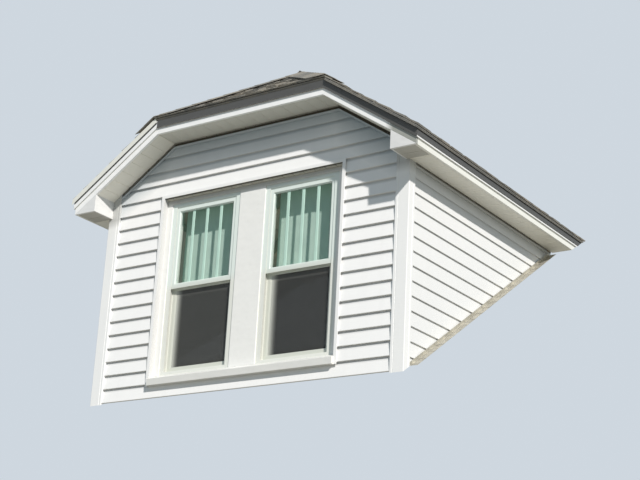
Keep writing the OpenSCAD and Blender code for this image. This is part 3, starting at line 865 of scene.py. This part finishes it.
class DORMER_OT_cheek_siding(bpy.types.Operator):
    """Lap siding of the two cheeks, with the strip under the eave soffits."""

    bl_idname = "dormer.cheek_siding"
    bl_label = "Cheek siding"

    def execute(self, context):
        sizes = context.scene.dormer_sizes
        vinyl = vinyl_siding("cheek_vinyl", colour_of("cheek"), eave_grime_and_painted_shade)
        start, gap = sizes.first_butt, sizes.soffit_gap * 0.6

        def run(outline):
            """An outline of depth and height, carried from the corner post back past the cut."""
            return prism([(HALF - y, z) for y, z in outline], "Y", POST_SIDE + HIDDEN, SLOPE_END + 0.05)

        board = run([(y, z + start) for y, z in course_outline(sizes.course, sizes.cheek_butt)])
        count = math.ceil((SOFFIT - start) / sizes.course)
        boards = above_slope(row(board, vinyl, count, (0, 0, sizes.course)))
        between(boards, "Z", high=SOFFIT - gap - 0.002)
        trim, frieze = (above_slope(run([(y, SOFFIT - z) for y, z in strip])) for strip in siding_strips(gap))
        pair("cheek_boards", joined(boards, trim), vinyl, "white_siding", "cheek_siding")
        pair("cheek_frieze", frieze, frieze_board(), "framing_wood", "cheek_siding")
        return {"FINISHED"}


class DORMER_OT_corner_posts(bpy.types.Operator):
    """Corner posts: an angle with a rounded arris and a pressed line beside each edge."""

    bl_idname = "dormer.corner_posts"
    bl_label = "Corner posts"

    def execute(self, context):
        front, side, back, line, radius = HALF - POST_FRONT, POST_SIDE, SIDING_BACK, 0.020, 0.004
        pressed = ((0.0, 0.0), (0.0015, 0.0022), (0.004, 0.0022), (0.0055, 0.0))
        turns = [math.radians(15 * i) for i in range(7)]
        post = above_slope(prism([
            (front, 0.003), (front + 0.002, 0.0), *((front + line + along, deep) for along, deep in pressed),
            *((HALF - radius + radius * math.sin(a), radius - radius * math.cos(a)) for a in turns),
            *((HALF - deep, side - line - along) for along, deep in reversed(pressed)),
            (HALF, side - 0.002), (HALF - 0.003, side), (HALF - back, side), (HALF - back, back),
            (front, back)], "Z", -0.1, 1.9))
        cut(post, (front, 0, rake(front) + 0.004), (SINE, 0, COSINE))
        vinyl = vinyl_siding("post_vinyl", colour_of("trim"), cheek_face_painted_shade, eave_grime_and_painted_shade)
        pair("post_cover", post, vinyl, "white_siding", "corner_post")
        return {"FINISHED"}


# Windows


class DORMER_OT_window_surround(bpy.types.Operator):
    """Casing with the flat mullion cover, and the sill, in coated metal over wood."""

    bl_idname = "dormer.window_surround"
    bl_label = "Window surround"

    def execute(self, context):
        metal = coated_metal("casing_metal", colour_of("casing"), 0.36, darkening=painted_head_shade)
        worn = coated_metal("sill_metal", colour_of("sill"), 0.42)
        for name, node, width, cover in (("casing_boards", "window_casing", 0.0015, metal),
                                         ("sill_board", "window_sill", 0.0018, worn)):
            piece(name, soften(from_node(node), width), cover, "white_casing", node)
        return {"FINISHED"}


class DORMER_OT_sashes(bpy.types.Operator):
    """Window frames and sashes, with rounded vinyl profiles."""

    bl_idname = "dormer.sashes"
    bl_label = "Frames and sashes"

    def execute(self, context):
        for name in (f"{side}_{part}" for side in ("left", "right")
                     for part in ("window_frame", "upper_sash", "lower_sash")):
            profile, vinyl = from_node(name), sash_vinyl()
            if "upper_sash" in name:
                # The rails' inner edges and the panes' grooves in them
                for way, solid, drawn in zip(SIDES, SOLID_UPPER_GLASS, UPPER_GLASS):
                    for groove in (0.0, GROOVE * way):
                        move_level(profile, solid + groove, drawn + groove)
            soften(profile, 0.0014)
            if "window_frame" in name:
                vinyl = frame_vinyl()
                # Faces that look towards the sun are marked for the frame's painted shade
                sunward_face = profile.faces.layers.float.new("sunward_face")
                for face in profile.faces:
                    face[sunward_face] = float(face.normal.x > 0.7)
            piece(f"{name}_profile", profile, vinyl, "window_vinyl", name)
        return {"FINISHED"}


class DORMER_OT_glazing(bpy.types.Operator):
    """Double panes with the flat bars between the two sheets of each upper unit."""

    bl_idname = "dormer.glazing"
    bl_label = "Glazing and bars"

    def execute(self, context):
        sizes = context.scene.dormer_sizes
        vinyl = smooth_vinyl("bar_vinyl", colour_of("bars"))
        pitch = (2 * GLASS_HALF + sizes.bar_width) / (sizes.bars + 1)
        half, thick, sheet = sizes.bar_width / 2, 0.0025, 0.003
        flat = half - 0.004
        outline = [(-half, 0), (-flat, -thick), (flat, -thick), (half, 0), (flat, thick), (-flat, thick)]
        sheets, rows = [], []
        for middle in (side * WINDOW for side in SIDES):
            low, high = middle - GLASS_HALF, middle + GLASS_HALF
            for face, (foot, top) in ((UPPER_FACE, UPPER_GLASS), (LOWER_FACE, LOWER_GLASS)):
                for y in (face + PANE_INSET, face + PANE_INSET + PANE_THICK - sheet):
                    sheets.append(block((low, y, foot), (high, y + sheet, top)))
            bar = shifted(prism(outline, "Z", *UPPER_GLASS), low - half + pitch,
                          UPPER_FACE + PANE_INSET + PANE_THICK / 2, 0)
            rows.append(row(bar, vinyl, sizes.bars, (pitch, 0, 0)))
        piece("glass_sheets", joined(*sheets), window_pane(), "pane_glass", "window_glass")
        piece("sash_bars", joined(*rows), vinyl, "window_vinyl")
        return {"FINISHED"}


class DORMER_OT_screens(bpy.types.Operator):
    """Half insect screens: a rolled frame with the mesh in its spline groove."""

    bl_idname = "dormer.screens"
    bl_label = "Insect screens"

    def execute(self, context):
        face, back = UPPER_FACE + SASH_THICK + 0.0002, LOWER_FACE - 0.0002
        low, high = SCREEN_OPENING
        frames, meshes = [], []
        for middle in (side * WINDOW for side in SIDES):
            outer, step, inner, sheet = ((middle - half, foot, middle + half, top) for half, foot, top in (
                (SCREEN_HALF - 0.0003, SASH_FOOT + 0.0003, SCREEN_TOP),
                (GLASS_HALF + 0.008, low - 0.008, high + 0.008), (GLASS_HALF, low, high),
                (GLASS_HALF + 0.001, low - 0.001, high + 0.001)))
            frames += [soften(frame_of(outer, step, face, back), 0.0014),
                       soften(frame_of(step, inner, face + 0.0022, back), 0.0010)]
            meshes.append(block((sheet[0], face + 0.0046, sheet[1]), (sheet[2], face + 0.0052, sheet[3])))
        piece("screen_frames", joined(*frames), sash_vinyl(), "window_vinyl", "insect_screens")
        piece("screen_mesh", joined(*meshes), insect_mesh(), "screen_mesh", "insect_screens")
        return {"FINISHED"}


def hanging_cloth(side, half, foot, top):
    """One shade's cloth, a little wavy in place and flat in its UV map."""
    columns, rows = 46, 40
    bm = bmesh.new()
    flat = bm.loops.layers.uv.new("UVMap")
    grid = {}
    for i, j in ((i, j) for j in range(rows + 1) for i in range(columns + 1)):
        across, up = i / columns, j / rows
        wave = 0.0011 * math.sin(across * 21 + side) + 0.0008 * math.sin(across * 9.5 + up * 2.0)
        curl = -0.0016 * (2 * across - 1) ** 6
        grid[i, j] = bm.verts.new((side * WINDOW + (2 * across - 1) * half,
                                   SHADE_FACE + 0.001 + (wave + curl) * math.sin(math.pi * up) ** 0.7,
                                   foot + up * (top - foot)))
    for i, j in ((i, j) for j in range(rows) for i in range(columns)):
        corners = (i, j), (i + 1, j), (i + 1, j + 1), (i, j + 1)
        face = bm.faces.new([grid[corner] for corner in corners])
        face.smooth = True
        for loop, (a, b) in zip(face.loops, corners):
            loop[flat].uv = (a / columns * 2 * SHADE_HALF, b / rows * (top - foot))
    bmesh.ops.recalc_face_normals(bm, faces=bm.faces)
    bmesh.ops.solidify(bm, geom=bm.faces[:], thickness=0.0006)
    return bm


class DORMER_OT_shades(bpy.types.Operator):
    """Roller shades behind the upper sashes: a hanging cloth, its bottom slat and the roller."""

    bl_idname = "dormer.shades"
    bl_label = "Roller shades"

    def execute(self, context):
        cloth, rail = blind_cloth(), coated_metal("shade_rail", (0.70, 0.70, 0.68), 0.4, 0.1)
        paint(rail, "shade_rollers")
        half, foot, top = SHADE_HALF - 0.001, SHADE_FOOT + 0.003, UNIT_TOP
        for side, name in zip(SIDES, ("left", "right")):
            sheet = piece(f"{name}_shade_cloth", hanging_cloth(side, half, foot, top), cloth, "shade_cloth",
                          f"{name}_shade")
            slat = block((side * WINDOW - SHADE_HALF, SHADE_FACE - 0.003, SHADE_FOOT),
                         (side * WINDOW + SHADE_HALF, SHADE_FACE + 0.005, SHADE_FOOT + 0.018))
            bar = piece(f"{name}_shade_slat", soften(slat, 0.002), rail, "roller_metal")
        return {"FINISHED"}


# Roof


class Slope:
    """One roof slope: X along its eave, Y up the slope, Z out of it, and the planes that end it."""

    def __init__(self, origin, along, *limits):
        along = Vector(along)
        up = Vector((0, 0, 1)).cross(along) * COSINE + Vector((0, 0, SINE))
        turn = Matrix((along, up, along.cross(up))).transposed().to_4x4()
        self.matrix = Matrix.Translation(origin) @ turn
        self.limits = limits

    def laid(self, bm, eave, rake_inset):
        """Puts a mesh on the slope and cuts it off at its ends, at insets from the eave and the rake."""
        insets = {"eave": eave, "rake": rake_inset, "": 0.0}
        bm.transform(self.matrix)
        for point, away, kind in self.limits:
            cut(bm, Vector(point) - Vector(away) * insets[kind], away)
        return above_slope(bm, HIDDEN)


def slopes():
    """The three slopes, with the planes that end them: a point, the way out, and the kind of edge."""
    eave, front, thick = EAVE + OVERHANG, FRONT - OVERHANG, ROOF / COSINE
    diagonal, apex = math.sqrt(0.5), (0, APEX, 0)
    foot, clip_foot = RIDGE_UNDER - RISE * eave, CLIP_TOP - RISE * OVERHANG
    # The eaves are cut back under the top course: square to the slope at the clip, less at the sides
    sine, cosine = math.sin(PITCH / 2), math.cos(PITCH / 2)
    made = {name: Slope((side * eave, 0, foot), (0, side, 0), ((0, 0, 0), (-side, 0, 0), ""),
                        ((side * eave, 0, foot + thick), (side * cosine, 0, -sine), "eave"),
                        ((0, front, 0), (0, -1, 0), "rake"), (apex, (-side * diagonal, -diagonal, 0), ""))
            for side, name in zip(SIDES, ("left", "right"))}
    made["front"] = Slope((0, front, clip_foot), (1, 0, 0),
                          ((0, front, clip_foot + thick), (0, -COSINE, -SINE), "eave"),
                          *((apex, (side * diagonal, diagonal, 0), "") for side in (1, -1)))
    return made


class DORMER_OT_shingles(bpy.types.Operator):
    """Two old layers and the top courses of shingles, with staggered tabs, on each slope."""

    bl_idname = "dormer.shingles"
    bl_label = "Shingles"

    def execute(self, context):
        sizes = context.scene.dormer_sizes
        mineral, exposure, drop, underlay, old = mineral_shingle(), sizes.exposure, -0.115, 0.0525, 0.0595

        def shingle(width, thick, low):
            """A shingle that leans on the one below it, with its butt at Y 0."""
            return prism([(0.0, low + 0.0108), (0.0, low + 0.0108 + thick), (sizes.tab_length, low + 0.0012),
                          (sizes.tab_length, low)], "X", -width / 2, width / 2)

        # Length up the slope, span along the eave, where the span starts, and how far the layers end
        # short of the left rake, behind a metal strip
        layout = {"left": (1.9, 4.6, -4.3, 0.0185), "right": (1.9, 4.6, -0.35, 0.0),
                  "front": (0.95, 1.8, -0.9, 0.0)}
        for turn, (name, slope) in enumerate(slopes().items()):
            run, span, back, short = layout[name]
            courses = math.ceil((run + 0.1) / exposure) + 1
            parts = []
            for low, high, inset in ((DECK, underlay, 0.0016), (underlay, old, 0.0006)):
                layer = block((back, -0.12, low), (back + span, run + 0.3, high))
                parts.append(slope.laid(layer, inset, inset + short))
            strip = shifted(shingle(span, 0.0040, old + 0.0002), back + span / 2, drop, 0)
            strips = row(strip, mineral, courses, (0, exposure, 0), 11 + turn)
            parts.append(slope.laid(strips, 0.0004, 0.0006 + short))
            tab = shifted(shingle(sizes.tab, 0.0052, old + 0.0006), 0, drop, 0)
            tabs = repeated(tab_tree, "courses_of_tabs", tab, {
                "Courses": courses, "Tabs": math.ceil(span / sizes.tab) + 1, "Exposure": exposure,
                "Tab Width": sizes.tab, "Shift": -back, "Lift": 0.0032, "Seed": sizes.seed + 20 * turn,
                "Material": mineral})
            parts.append(slope.laid(tabs, 0.0003, 0.0003 + short))
            piece(f"{name}_slope_shingles", joined(*parts), mineral, "roof_shingle", f"{name}_shingles")
        return {"FINISHED"}


class DORMER_OT_caps(bpy.types.Operator):
    """Cap shingles folded over the ridge and the two hips."""

    bl_idname = "dormer.caps"
    bl_label = "Ridge and hip caps"

    def execute(self, context):
        mineral, exposure = mineral_shingle(), context.scene.dormer_sizes.cap_exposure
        right, left, clip = Vector((SINE, 0, COSINE)), Vector((-SINE, 0, COSINE)), Vector((0, -SINE, COSINE))
        top, lines, hip_length, cap_length = Vector((0, APEX, RIDGE_UNDER)), [], 1.36, 0.29
        for first, second, toward in (
                (right, left, (0, 1, 0)), (right, clip, (1, -1, 0)), (clip, left, (-1, -1, 0))):
            along = first.cross(second).normalized()
            if along.dot(Vector(toward)) < 0:
                along = -along
            is_ridge = toward[0] == 0
            reach = ROOF_END - APEX if is_ridge else hip_length
            # Caps are laid from the low end of a hip upwards, and along the ridge from the front back
            head = along if is_ridge else -along
            start = top - along * 0.02 if is_ridge else top + along * reach
            bisector = (first + second) / (1 + first.dot(second))
            wings = [normal.cross(along).normalized() for normal in (first, second)]
            wings = [-wing if wing.dot(other) > 0 else wing for wing, other in zip(wings, (second, first))]

            def section(place, low, thick, width):
                """Across a cap: its upper face from one wing to the other, then its lower face back."""
                upper, lower = place + bisector * (low + thick), place + bisector * low
                return [upper + wings[0] * width, upper, upper + wings[1] * width,
                        lower + wings[1] * width, lower, lower + wings[0] * width]

            cap = skinned([section(start, ROOF + 0.0038, 0.0034, 0.128),
                           section(start + head * cap_length, ROOF + 0.0002, 0.0012, 0.124)])
            line = row(cap, mineral, math.ceil((reach + 0.02) / exposure), head * exposure, 31 + len(lines))
            lines.append(line if is_ridge else cut(line, top + head * 0.01, (head.x, head.y, 0)))
        caps = between(joined(*lines), "Y", FRONT - OVERHANG + 0.0004)
        between(caps, "Z", high=RIDGE_UNDER + (ROOF + CAPS) / COSINE)
        piece("cap_shingles", above_slope(caps, HIDDEN), mineral, "roof_shingle", "ridge_and_hip_caps")
        return {"FINISHED"}


# Sections of the metal edges, as distance out from the deck's edge and height. They use the sheet's
# thickness, how far the deck stands out over the fascias, and the deck's thickness straight up
SKIN, LAP = 0.0012, 0.008
DECK_RISE = DECK / COSINE


def drip_leg(height, drop=DECK_RISE):
    """Drip edge over the deck's edge, kicked out at its foot."""
    foot, kick = height - drop - 0.0012, (LAP + 0.003) * 0.6
    return [(0, height), (SKIN, height - 0.0006), (SKIN, foot + 0.007), (0.004, foot), (0.003, foot - 0.0008),
            (0.0006 - LAP, foot + kick), (0.0006 - LAP, foot + 0.0022 + kick), (0, foot + 0.0022)]


def apron(height):
    """Flat cover of the deck's edge, down over the fascia's top."""
    foot = height - DECK_RISE - 0.005
    return [(0, height), (SKIN, height - 0.0006), (SKIN, foot), (0.0004, foot - 0.0006),
            (0.0004 - LAP, foot + 0.0022), (0.0004 - LAP, foot + 0.0034), (0, foot + 0.0030)]


def pale_strip(height):
    """The pale strip over an open joint, with a hem at its foot."""
    foot = height - 0.012
    return [(0, foot + 0.045), (SKIN, foot + 0.045), (SKIN, foot + 0.003), (0.0024, foot),
            (0.0016, foot - 0.0010), (0, foot + 0.002)]


def painted_shadow_line(height):
    """A painted shadow line: a dark strip that shows under the pale strip."""
    top, foot = height - 0.008, height - 0.026
    return [(0.0006, top), (0.0006, foot), (SKIN + 0.0006, foot), (SKIN + 0.0006, top)]


class DORMER_OT_decks(bpy.types.Operator):
    """Board decks seen from inside, and the metal drip edge round the eaves and rakes."""

    bl_idname = "dormer.decks"
    bl_label = "Decks and drip edge"

    def execute(self, context):
        boards = colour_of("boards")
        paint(timber("deck_boards_side", boards, "Y", 0.14, "X"), "left_roof_deck", "right_roof_deck")
        paint(timber("deck_boards_front", boards, "X", 0.14, "Y"), "front_roof_deck")
        metal = coated_metal("drip_metal", colour_of("drip"), 0.5)
        white = coated_metal("eave_apron_metal", colour_of("trim"), 0.34)
        pale = coated_metal("rake_edge_metal", colour_of("rake_edge"), 0.4)
        eave, front, behind_slope = EAVE + LAP, FRONT - LAP, 2.4
        top = RIDGE_UNDER - RISE * eave + DECK_RISE

        def along_eave(form, out):
            """A section carried along both eaves."""
            outline = [(eave + out + a, z) for a, z in form]
            return both(above_slope(prism(outline, "Y", front, behind_slope)))

        def along_rake(side, form, out, start, end):
            """A section carried down one rake, between two distances from the middle."""
            return skinned([[(side * x, front - out - a, z)
                             for a, z in form(RIDGE_UNDER - RISE * x + DECK_RISE - HIDDEN)]
                            for x in (start, end)])

        inner, outer, bare, painted = CLIP_HALF + 0.006, eave + SKIN, "flashing_metal", "white_fascia"
        clip_leg = drip_leg(CLIP_TOP - RISE * LAP + DECK_RISE - HIDDEN)
        clip_edge = prism([(front - a, z) for a, z in clip_leg], "X", -inner, inner)
        for name, shape, cover, slot in (
                ("side_drip_edges", along_eave(drip_leg(top - HIDDEN, 0.046), 0.0014), metal, bare),
                ("side_aprons", along_eave(apron(top - 0.0010), 0.0), white, painted),
                ("front_drip_edge", clip_edge, metal, bare),
                ("left_rake_apron", along_rake(-1, apron, 0.0, inner, outer), white, painted),
                ("left_rake_shadow_line", along_rake(-1, painted_shadow_line, 0.0, inner + 0.002, outer - 0.002),
                 metal, bare),
                # The right rake's apron takes the dark drip metal as painted shade; the left one is white
                ("right_rake_apron", along_rake(1, apron, 0.0, inner, outer), metal, bare),
                ("left_rake_strip", along_rake(-1, pale_strip, 0.0040, inner + 0.008, eave + 0.020),
                 pale, bare)):
            piece(name, shape, cover, slot)
        return {"FINISHED"}


# Eaves


def nail(place, out):
    """A trim nail's flat head, on a face that looks out."""
    bm = bmesh.new()
    bmesh.ops.create_uvsphere(bm, u_segments=10, v_segments=6, radius=0.0032)
    bmesh.ops.scale(bm, vec=(1, 1, 0.4), verts=bm.verts)
    turn = Vector(out).to_track_quat("Z", "Y").to_matrix()
    bmesh.ops.rotate(bm, cent=(0, 0, 0), matrix=turn, verts=bm.verts)
    return shifted(bm, *place)


class DORMER_OT_fascias(bpy.types.Operator):
    """Fascias and boxed returns in coated metal, with their trim nails."""

    bl_idname = "dormer.fascias"
    bl_label = "Fascias and returns"

    def execute(self, context):
        trim = colour_of("trim")
        metal = coated_metal("fascia_metal", shade_of(trim, 1.035), 0.3, 0.5)
        darker_end = coated_metal("mossy_fascia_metal", shade_of(trim, 1.035), 0.3, 0.5, darker_lower_end)
        # Painted shade: the eave fascias take a darker white than the front fascias
        side_fascia_shade = coated_metal("eave_fascia_metal", colour_of("eave_fascia_shaded_white"), 0.34, 0.5)
        boxed = coated_metal("return_metal", shade_of(trim, 0.84), 0.34, 0.5)
        for name, cover in (
                ("front_fascia", metal), ("left_rake_fascia", metal), ("right_rake_fascia", darker_end),
                ("left_eave_fascia", side_fascia_shade), ("right_eave_fascia", side_fascia_shade), ("eave_returns", boxed)):
            piece(f"{name}_wrap", soften(from_node(name), 0.0012), cover, "white_fascia", name)

        # Each run of nails: its first nail, the way it faces, its length and its direction
        high, run = CLIP_SOFFIT + 0.04, (EAVE - CLIP_HALF) / COSINE - 0.1
        level, sloping, side = (
            row(nail(place, out), metal, int(reach / context.scene.dormer_sizes.nail_spacing) + 1,
                Vector(way) * context.scene.dormer_sizes.nail_spacing)
            for place, out, reach, way in (
                ((-CLIP_HALF + 0.05, FRONT, high), (0, -1, 0), 2 * CLIP_HALF - 0.06, (1, 0, 0)),
                ((CLIP_HALF + 0.05, FRONT, high - 0.05 * RISE), (0, -1, 0), run, (COSINE, 0, -SINE)),
                ((EAVE, FRONT + 0.06, SOFFIT + 0.04), (1, 0, 0), SLOPE_END - 0.1, (0, 1, 0))))
        piece("fascia_nails", joined(level, both(sloping), both(side)), metal, "white_fascia")
        return {"FINISHED"}


class DORMER_OT_soffits(bpy.types.Operator):
    """Soffit panels: ribs with a groove between them, under the front, the rakes and the eaves."""

    bl_idname = "dormer.soffits"
    bl_label = "Soffits"

    def execute(self, context):
        cream, rib = colour_of("soffit"), context.scene.dormer_sizes.panel
        # The soffits' cream stands partly for warm light bounced up from the roof (painted light); the
        # front's duller copy is painted shade
        metal = coated_metal("soffit_metal", cream, 0.42, 0.3)
        front_soffit_shade = coated_metal("front_soffit_metal", colour_of("front_soffit"), 0.42, 0.3)
        # The returns' undersides get a darker copy of the cream: painted shade
        shaded = coated_metal("return_soffit_metal", shade_of(cream, 0.58), 0.42)
        thick, groove, front = 0.0115, 0.0035, FRONT + FASCIA_THICK
        outline = [(0.0, thick), (0.0, groove), (groove, 0.0),
                   (rib - groove, 0.0), (rib, groove), (rib, thick)]
        level, sloping = (
            row(prism(outline, "Y", front, 0.0), cover, math.ceil(reach / rib) + more, (rib, 0, 0))
            for cover, reach, more in ((front_soffit_shade, 2 * CLIP_HALF, 0), (metal, (RETURN - CLIP_HALF) / COSINE, 1)))
        between(shifted(level, -CLIP_HALF, 0, CLIP_SOFFIT), "X", high=CLIP_HALF)
        sloping.transform(Matrix.Translation((CLIP_HALF, 0, CLIP_SOFFIT)) @ Matrix.Rotation(PITCH, 4, "Y"))
        between(sloping, "X", CLIP_HALF, RETURN)

        # Under the eaves the ribs run across; in front of the wall they close the returns from below
        across = prism([(front + a, b) for a, b in outline], "X", RETURN + 0.012, EAVE - FASCIA_THICK)
        under = row(across, metal, math.ceil((SLOPE_END + 0.1 - front) / rib), (0, rib, 0))
        above_slope(shifted(under, 0, 0, SOFFIT))
        corner = between(under.copy(), "Y", high=0.001)
        between(between(under, "X", HALF), "Y", 0.001)
        for name, shape, cover, node in (
                ("front_soffit_panels", level, front_soffit_shade, "front_soffit"),
                ("rake_soffit_panels", both(sloping), metal, "rake_soffits"),
                ("eave_soffit_panels", both(under), metal, "eave_soffits"),
                ("return_soffit_panels", both(corner), shaded, "eave_soffits")):
            piece(name, shape, cover, "grey_soffit", node)
        return {"FINISHED"}


class DORMER_OT_flashings(bpy.types.Operator):
    """Step flashings: bent plates that overlap up each cheek."""

    bl_idname = "dormer.flashings"
    bl_label = "Step flashings"

    def execute(self, context):
        step = context.scene.dormer_sizes.flashing_step
        metal = bent_metal("flashing_sheet", colour_of("flashing"))
        up, out = Vector((0, COSINE, SINE)), Vector((0, -SINE, COSINE))
        foot, wall, edge = Vector((0, POST_SIDE, POST_SIDE * RISE)), HALF - 0.0035, HALF + FLASHING - 0.003
        skin, height, plate, end = 0.0006, 0.020, 0.178, SOFFIT - 0.034

        def section(along, lift):
            """A plate's angle at a place up the slope, lifted off the one below it."""
            return [foot + up * along + Vector((x + lift, 0, 0)) + out * (rise + lift) for x, rise in (
                (wall, 0.0), (edge, 0.0), (edge, skin), (wall + 0.0016, skin), (wall + skin, 0.002),
                (wall + skin, height), (wall, height))]

        plates = row(skinned([section(0.0, 0.0016), section(plate, 0.0003)]), metal,
                     int((FLASHING_TOP - POST_SIDE) / COSINE / step), up * step)
        between(plates, "Y", POST_SIDE + HIDDEN)
        between(plates, "Z", high=end)
        piece("flashing_plates", both(above_slope(plates, 0.0002)), metal, "flashing_metal", "step_flashings")
        return {"FINISHED"}


class DORMER_OT_framing(bpy.types.Operator):
    """Bare framing and lining, seen through the open underside."""

    bl_idname = "dormer.framing"
    bl_label = "Framing and lining"

    def execute(self, context):
        wood, lining = colour_of("wood"), colour_of("lining")
        paint(timber("sole_timber", wood, "Y"), "sole_plate", "ridge_board")
        paint(timber("rafter_timber", wood, "X"), "common_rafters", "hip_rafters")
        paint(timber("front_lining", lining, "Z", 0.09, "X"), "front_wall_left", "front_wall_right",
              "front_wall_head", "window_post")
        paint(timber("cheek_lining", lining, "Z", 0.09, "Y"), "left_cheek_wall", "right_cheek_wall")
        return {"FINISHED"}


# Stage


class DORMER_OT_stage(bpy.types.Operator):
    """Camera, sun, soft light all round and the floor far below."""

    bl_idname = "dormer.stage"
    bl_label = "Stage"

    def execute(self, context):
        scene, stage = context.scene, context.scene.dormer_stage
        scene.view_settings.view_transform = "Standard"

        def placed(name, data):
            """An object of the scene."""
            obj = bpy.data.objects.new(name, data)
            scene.collection.objects.link(obj)
            return obj

        # The first wide view: focal length in pixels of a 640 x 480 picture, its three axes, and the
        # pixel that the zoomed view is turned to
        width, height, focal, aimed = 640, 480, 493.37, (271.5, 165.5)
        rows = Matrix(((0.875751, 0.482084, 0.025611), (-0.068371, 0.176370, -0.981947),
                       (-0.477897, 0.858189, 0.187416)))
        across, below = (aimed[0] - width / 2) / focal, (aimed[1] - height / 2) / focal
        aim = rows.transposed() @ Vector((across, below, 1.0))
        turn = Vector(rows[2]).rotation_difference(aim)
        right, down, ahead = (turn @ Vector(part) for part in rows)
        camera = bpy.data.cameras.new("view")
        camera.sensor_width = 36
        camera.lens = focal * stage.zoom / width * camera.sensor_width
        camera.clip_end = 200
        scene.camera = placed("view", camera)
        basis = Matrix((right, -down, -ahead)).transposed().to_4x4()
        scene.camera.matrix_world = Matrix.Translation(stage.eye) @ basis

        to_sun = Vector((0.643, -0.468, 0.606)).normalized()
        lamp = bpy.data.lights.new("sun", "SUN")
        lamp.energy, lamp.angle, lamp.color = stage.sun, math.radians(1.6), (1.0, 0.960, 0.918)
        sun = placed("sun", lamp)
        sun.rotation_mode = "QUATERNION"
        sun.rotation_quaternion = to_sun.to_track_quat("Z", "Y")
        sun.location = to_sun * 12

        scene.world = bpy.data.worlds.new("pale_sky")
        scene.world.use_nodes = True
        n = Nodes(scene.world.node_tree)
        path = n.add("ShaderNodeLightPath")
        seen = path.out("Is Camera Ray").maths("MAXIMUM", path.out("Is Glossy Ray"))
        seen = seen.maths("MAXIMUM", path.out("Is Transmission Ray"))
        fill = n.add("ShaderNodeBackground", inputs={0: (0.57, 0.79, 1.0, 1.0), 1: stage.fill})
        shown = n.add("ShaderNodeBackground", inputs={0: (*stage.backdrop, 1.0), 1: 1.0})
        both_skies = n.add("ShaderNodeMixShader", inputs={0: seen, 1: fill, 2: shown})
        n.add("ShaderNodeOutputWorld", inputs={0: both_skies})

        mesh = bpy.data.meshes.new("floor")
        bm = bmesh.new()
        bmesh.ops.create_circle(bm, cap_ends=True, segments=96, radius=60)
        shifted(bm, 0, 0, -stage.floor_drop).to_mesh(mesh)
        bm.free()
        mesh.materials.append(pale_floor("pale_floor", tuple(stage.floor)))
        placed("floor", mesh)
        return {"FINISHED"}


class DORMER_PT_pieces(bpy.types.Panel):
    """The dormer's pieces, sizes and colours."""

    bl_idname = "DORMER_PT_pieces"
    bl_label = "Dormer"
    bl_space_type = "VIEW_3D"
    bl_region_type = "UI"
    bl_category = "Dormer"

    def draw(self, context):
        for operator in OPERATORS:
            self.layout.operator(operator.bl_idname)
        for group in (context.scene.dormer_sizes, context.scene.dormer_colours, context.scene.dormer_stage):
            box = self.layout.box()
            for name in group.bl_rna.properties.keys():
                if name not in ("rna_type", "name"):
                    box.prop(group, name)


OPERATORS = (
    DORMER_OT_stage, DORMER_OT_framing, DORMER_OT_front_siding, DORMER_OT_cheek_siding,
    DORMER_OT_corner_posts, DORMER_OT_window_surround, DORMER_OT_sashes, DORMER_OT_glazing,
    DORMER_OT_screens, DORMER_OT_shades, DORMER_OT_decks, DORMER_OT_shingles, DORMER_OT_caps,
    DORMER_OT_fascias, DORMER_OT_soffits, DORMER_OT_flashings)
CLASSES = (DormerSizes, DormerColours, DormerStage, *OPERATORS, DORMER_PT_pieces)


def register():
    for item in CLASSES:
        bpy.utils.register_class(item)
    bpy.types.Scene.dormer_sizes = PointerProperty(type=DormerSizes)
    bpy.types.Scene.dormer_colours = PointerProperty(type=DormerColours)
    bpy.types.Scene.dormer_stage = PointerProperty(type=DormerStage)


def unregister():
    del bpy.types.Scene.dormer_stage
    del bpy.types.Scene.dormer_colours
    del bpy.types.Scene.dormer_sizes
    for item in reversed(CLASSES):
        bpy.utils.unregister_class(item)


def main():
    """Makes every piece."""
    register()
    for operator in OPERATORS:
        group, name = operator.bl_idname.split(".")
        getattr(getattr(bpy.ops, group), name)()


if __name__ == "__main__":
    main()
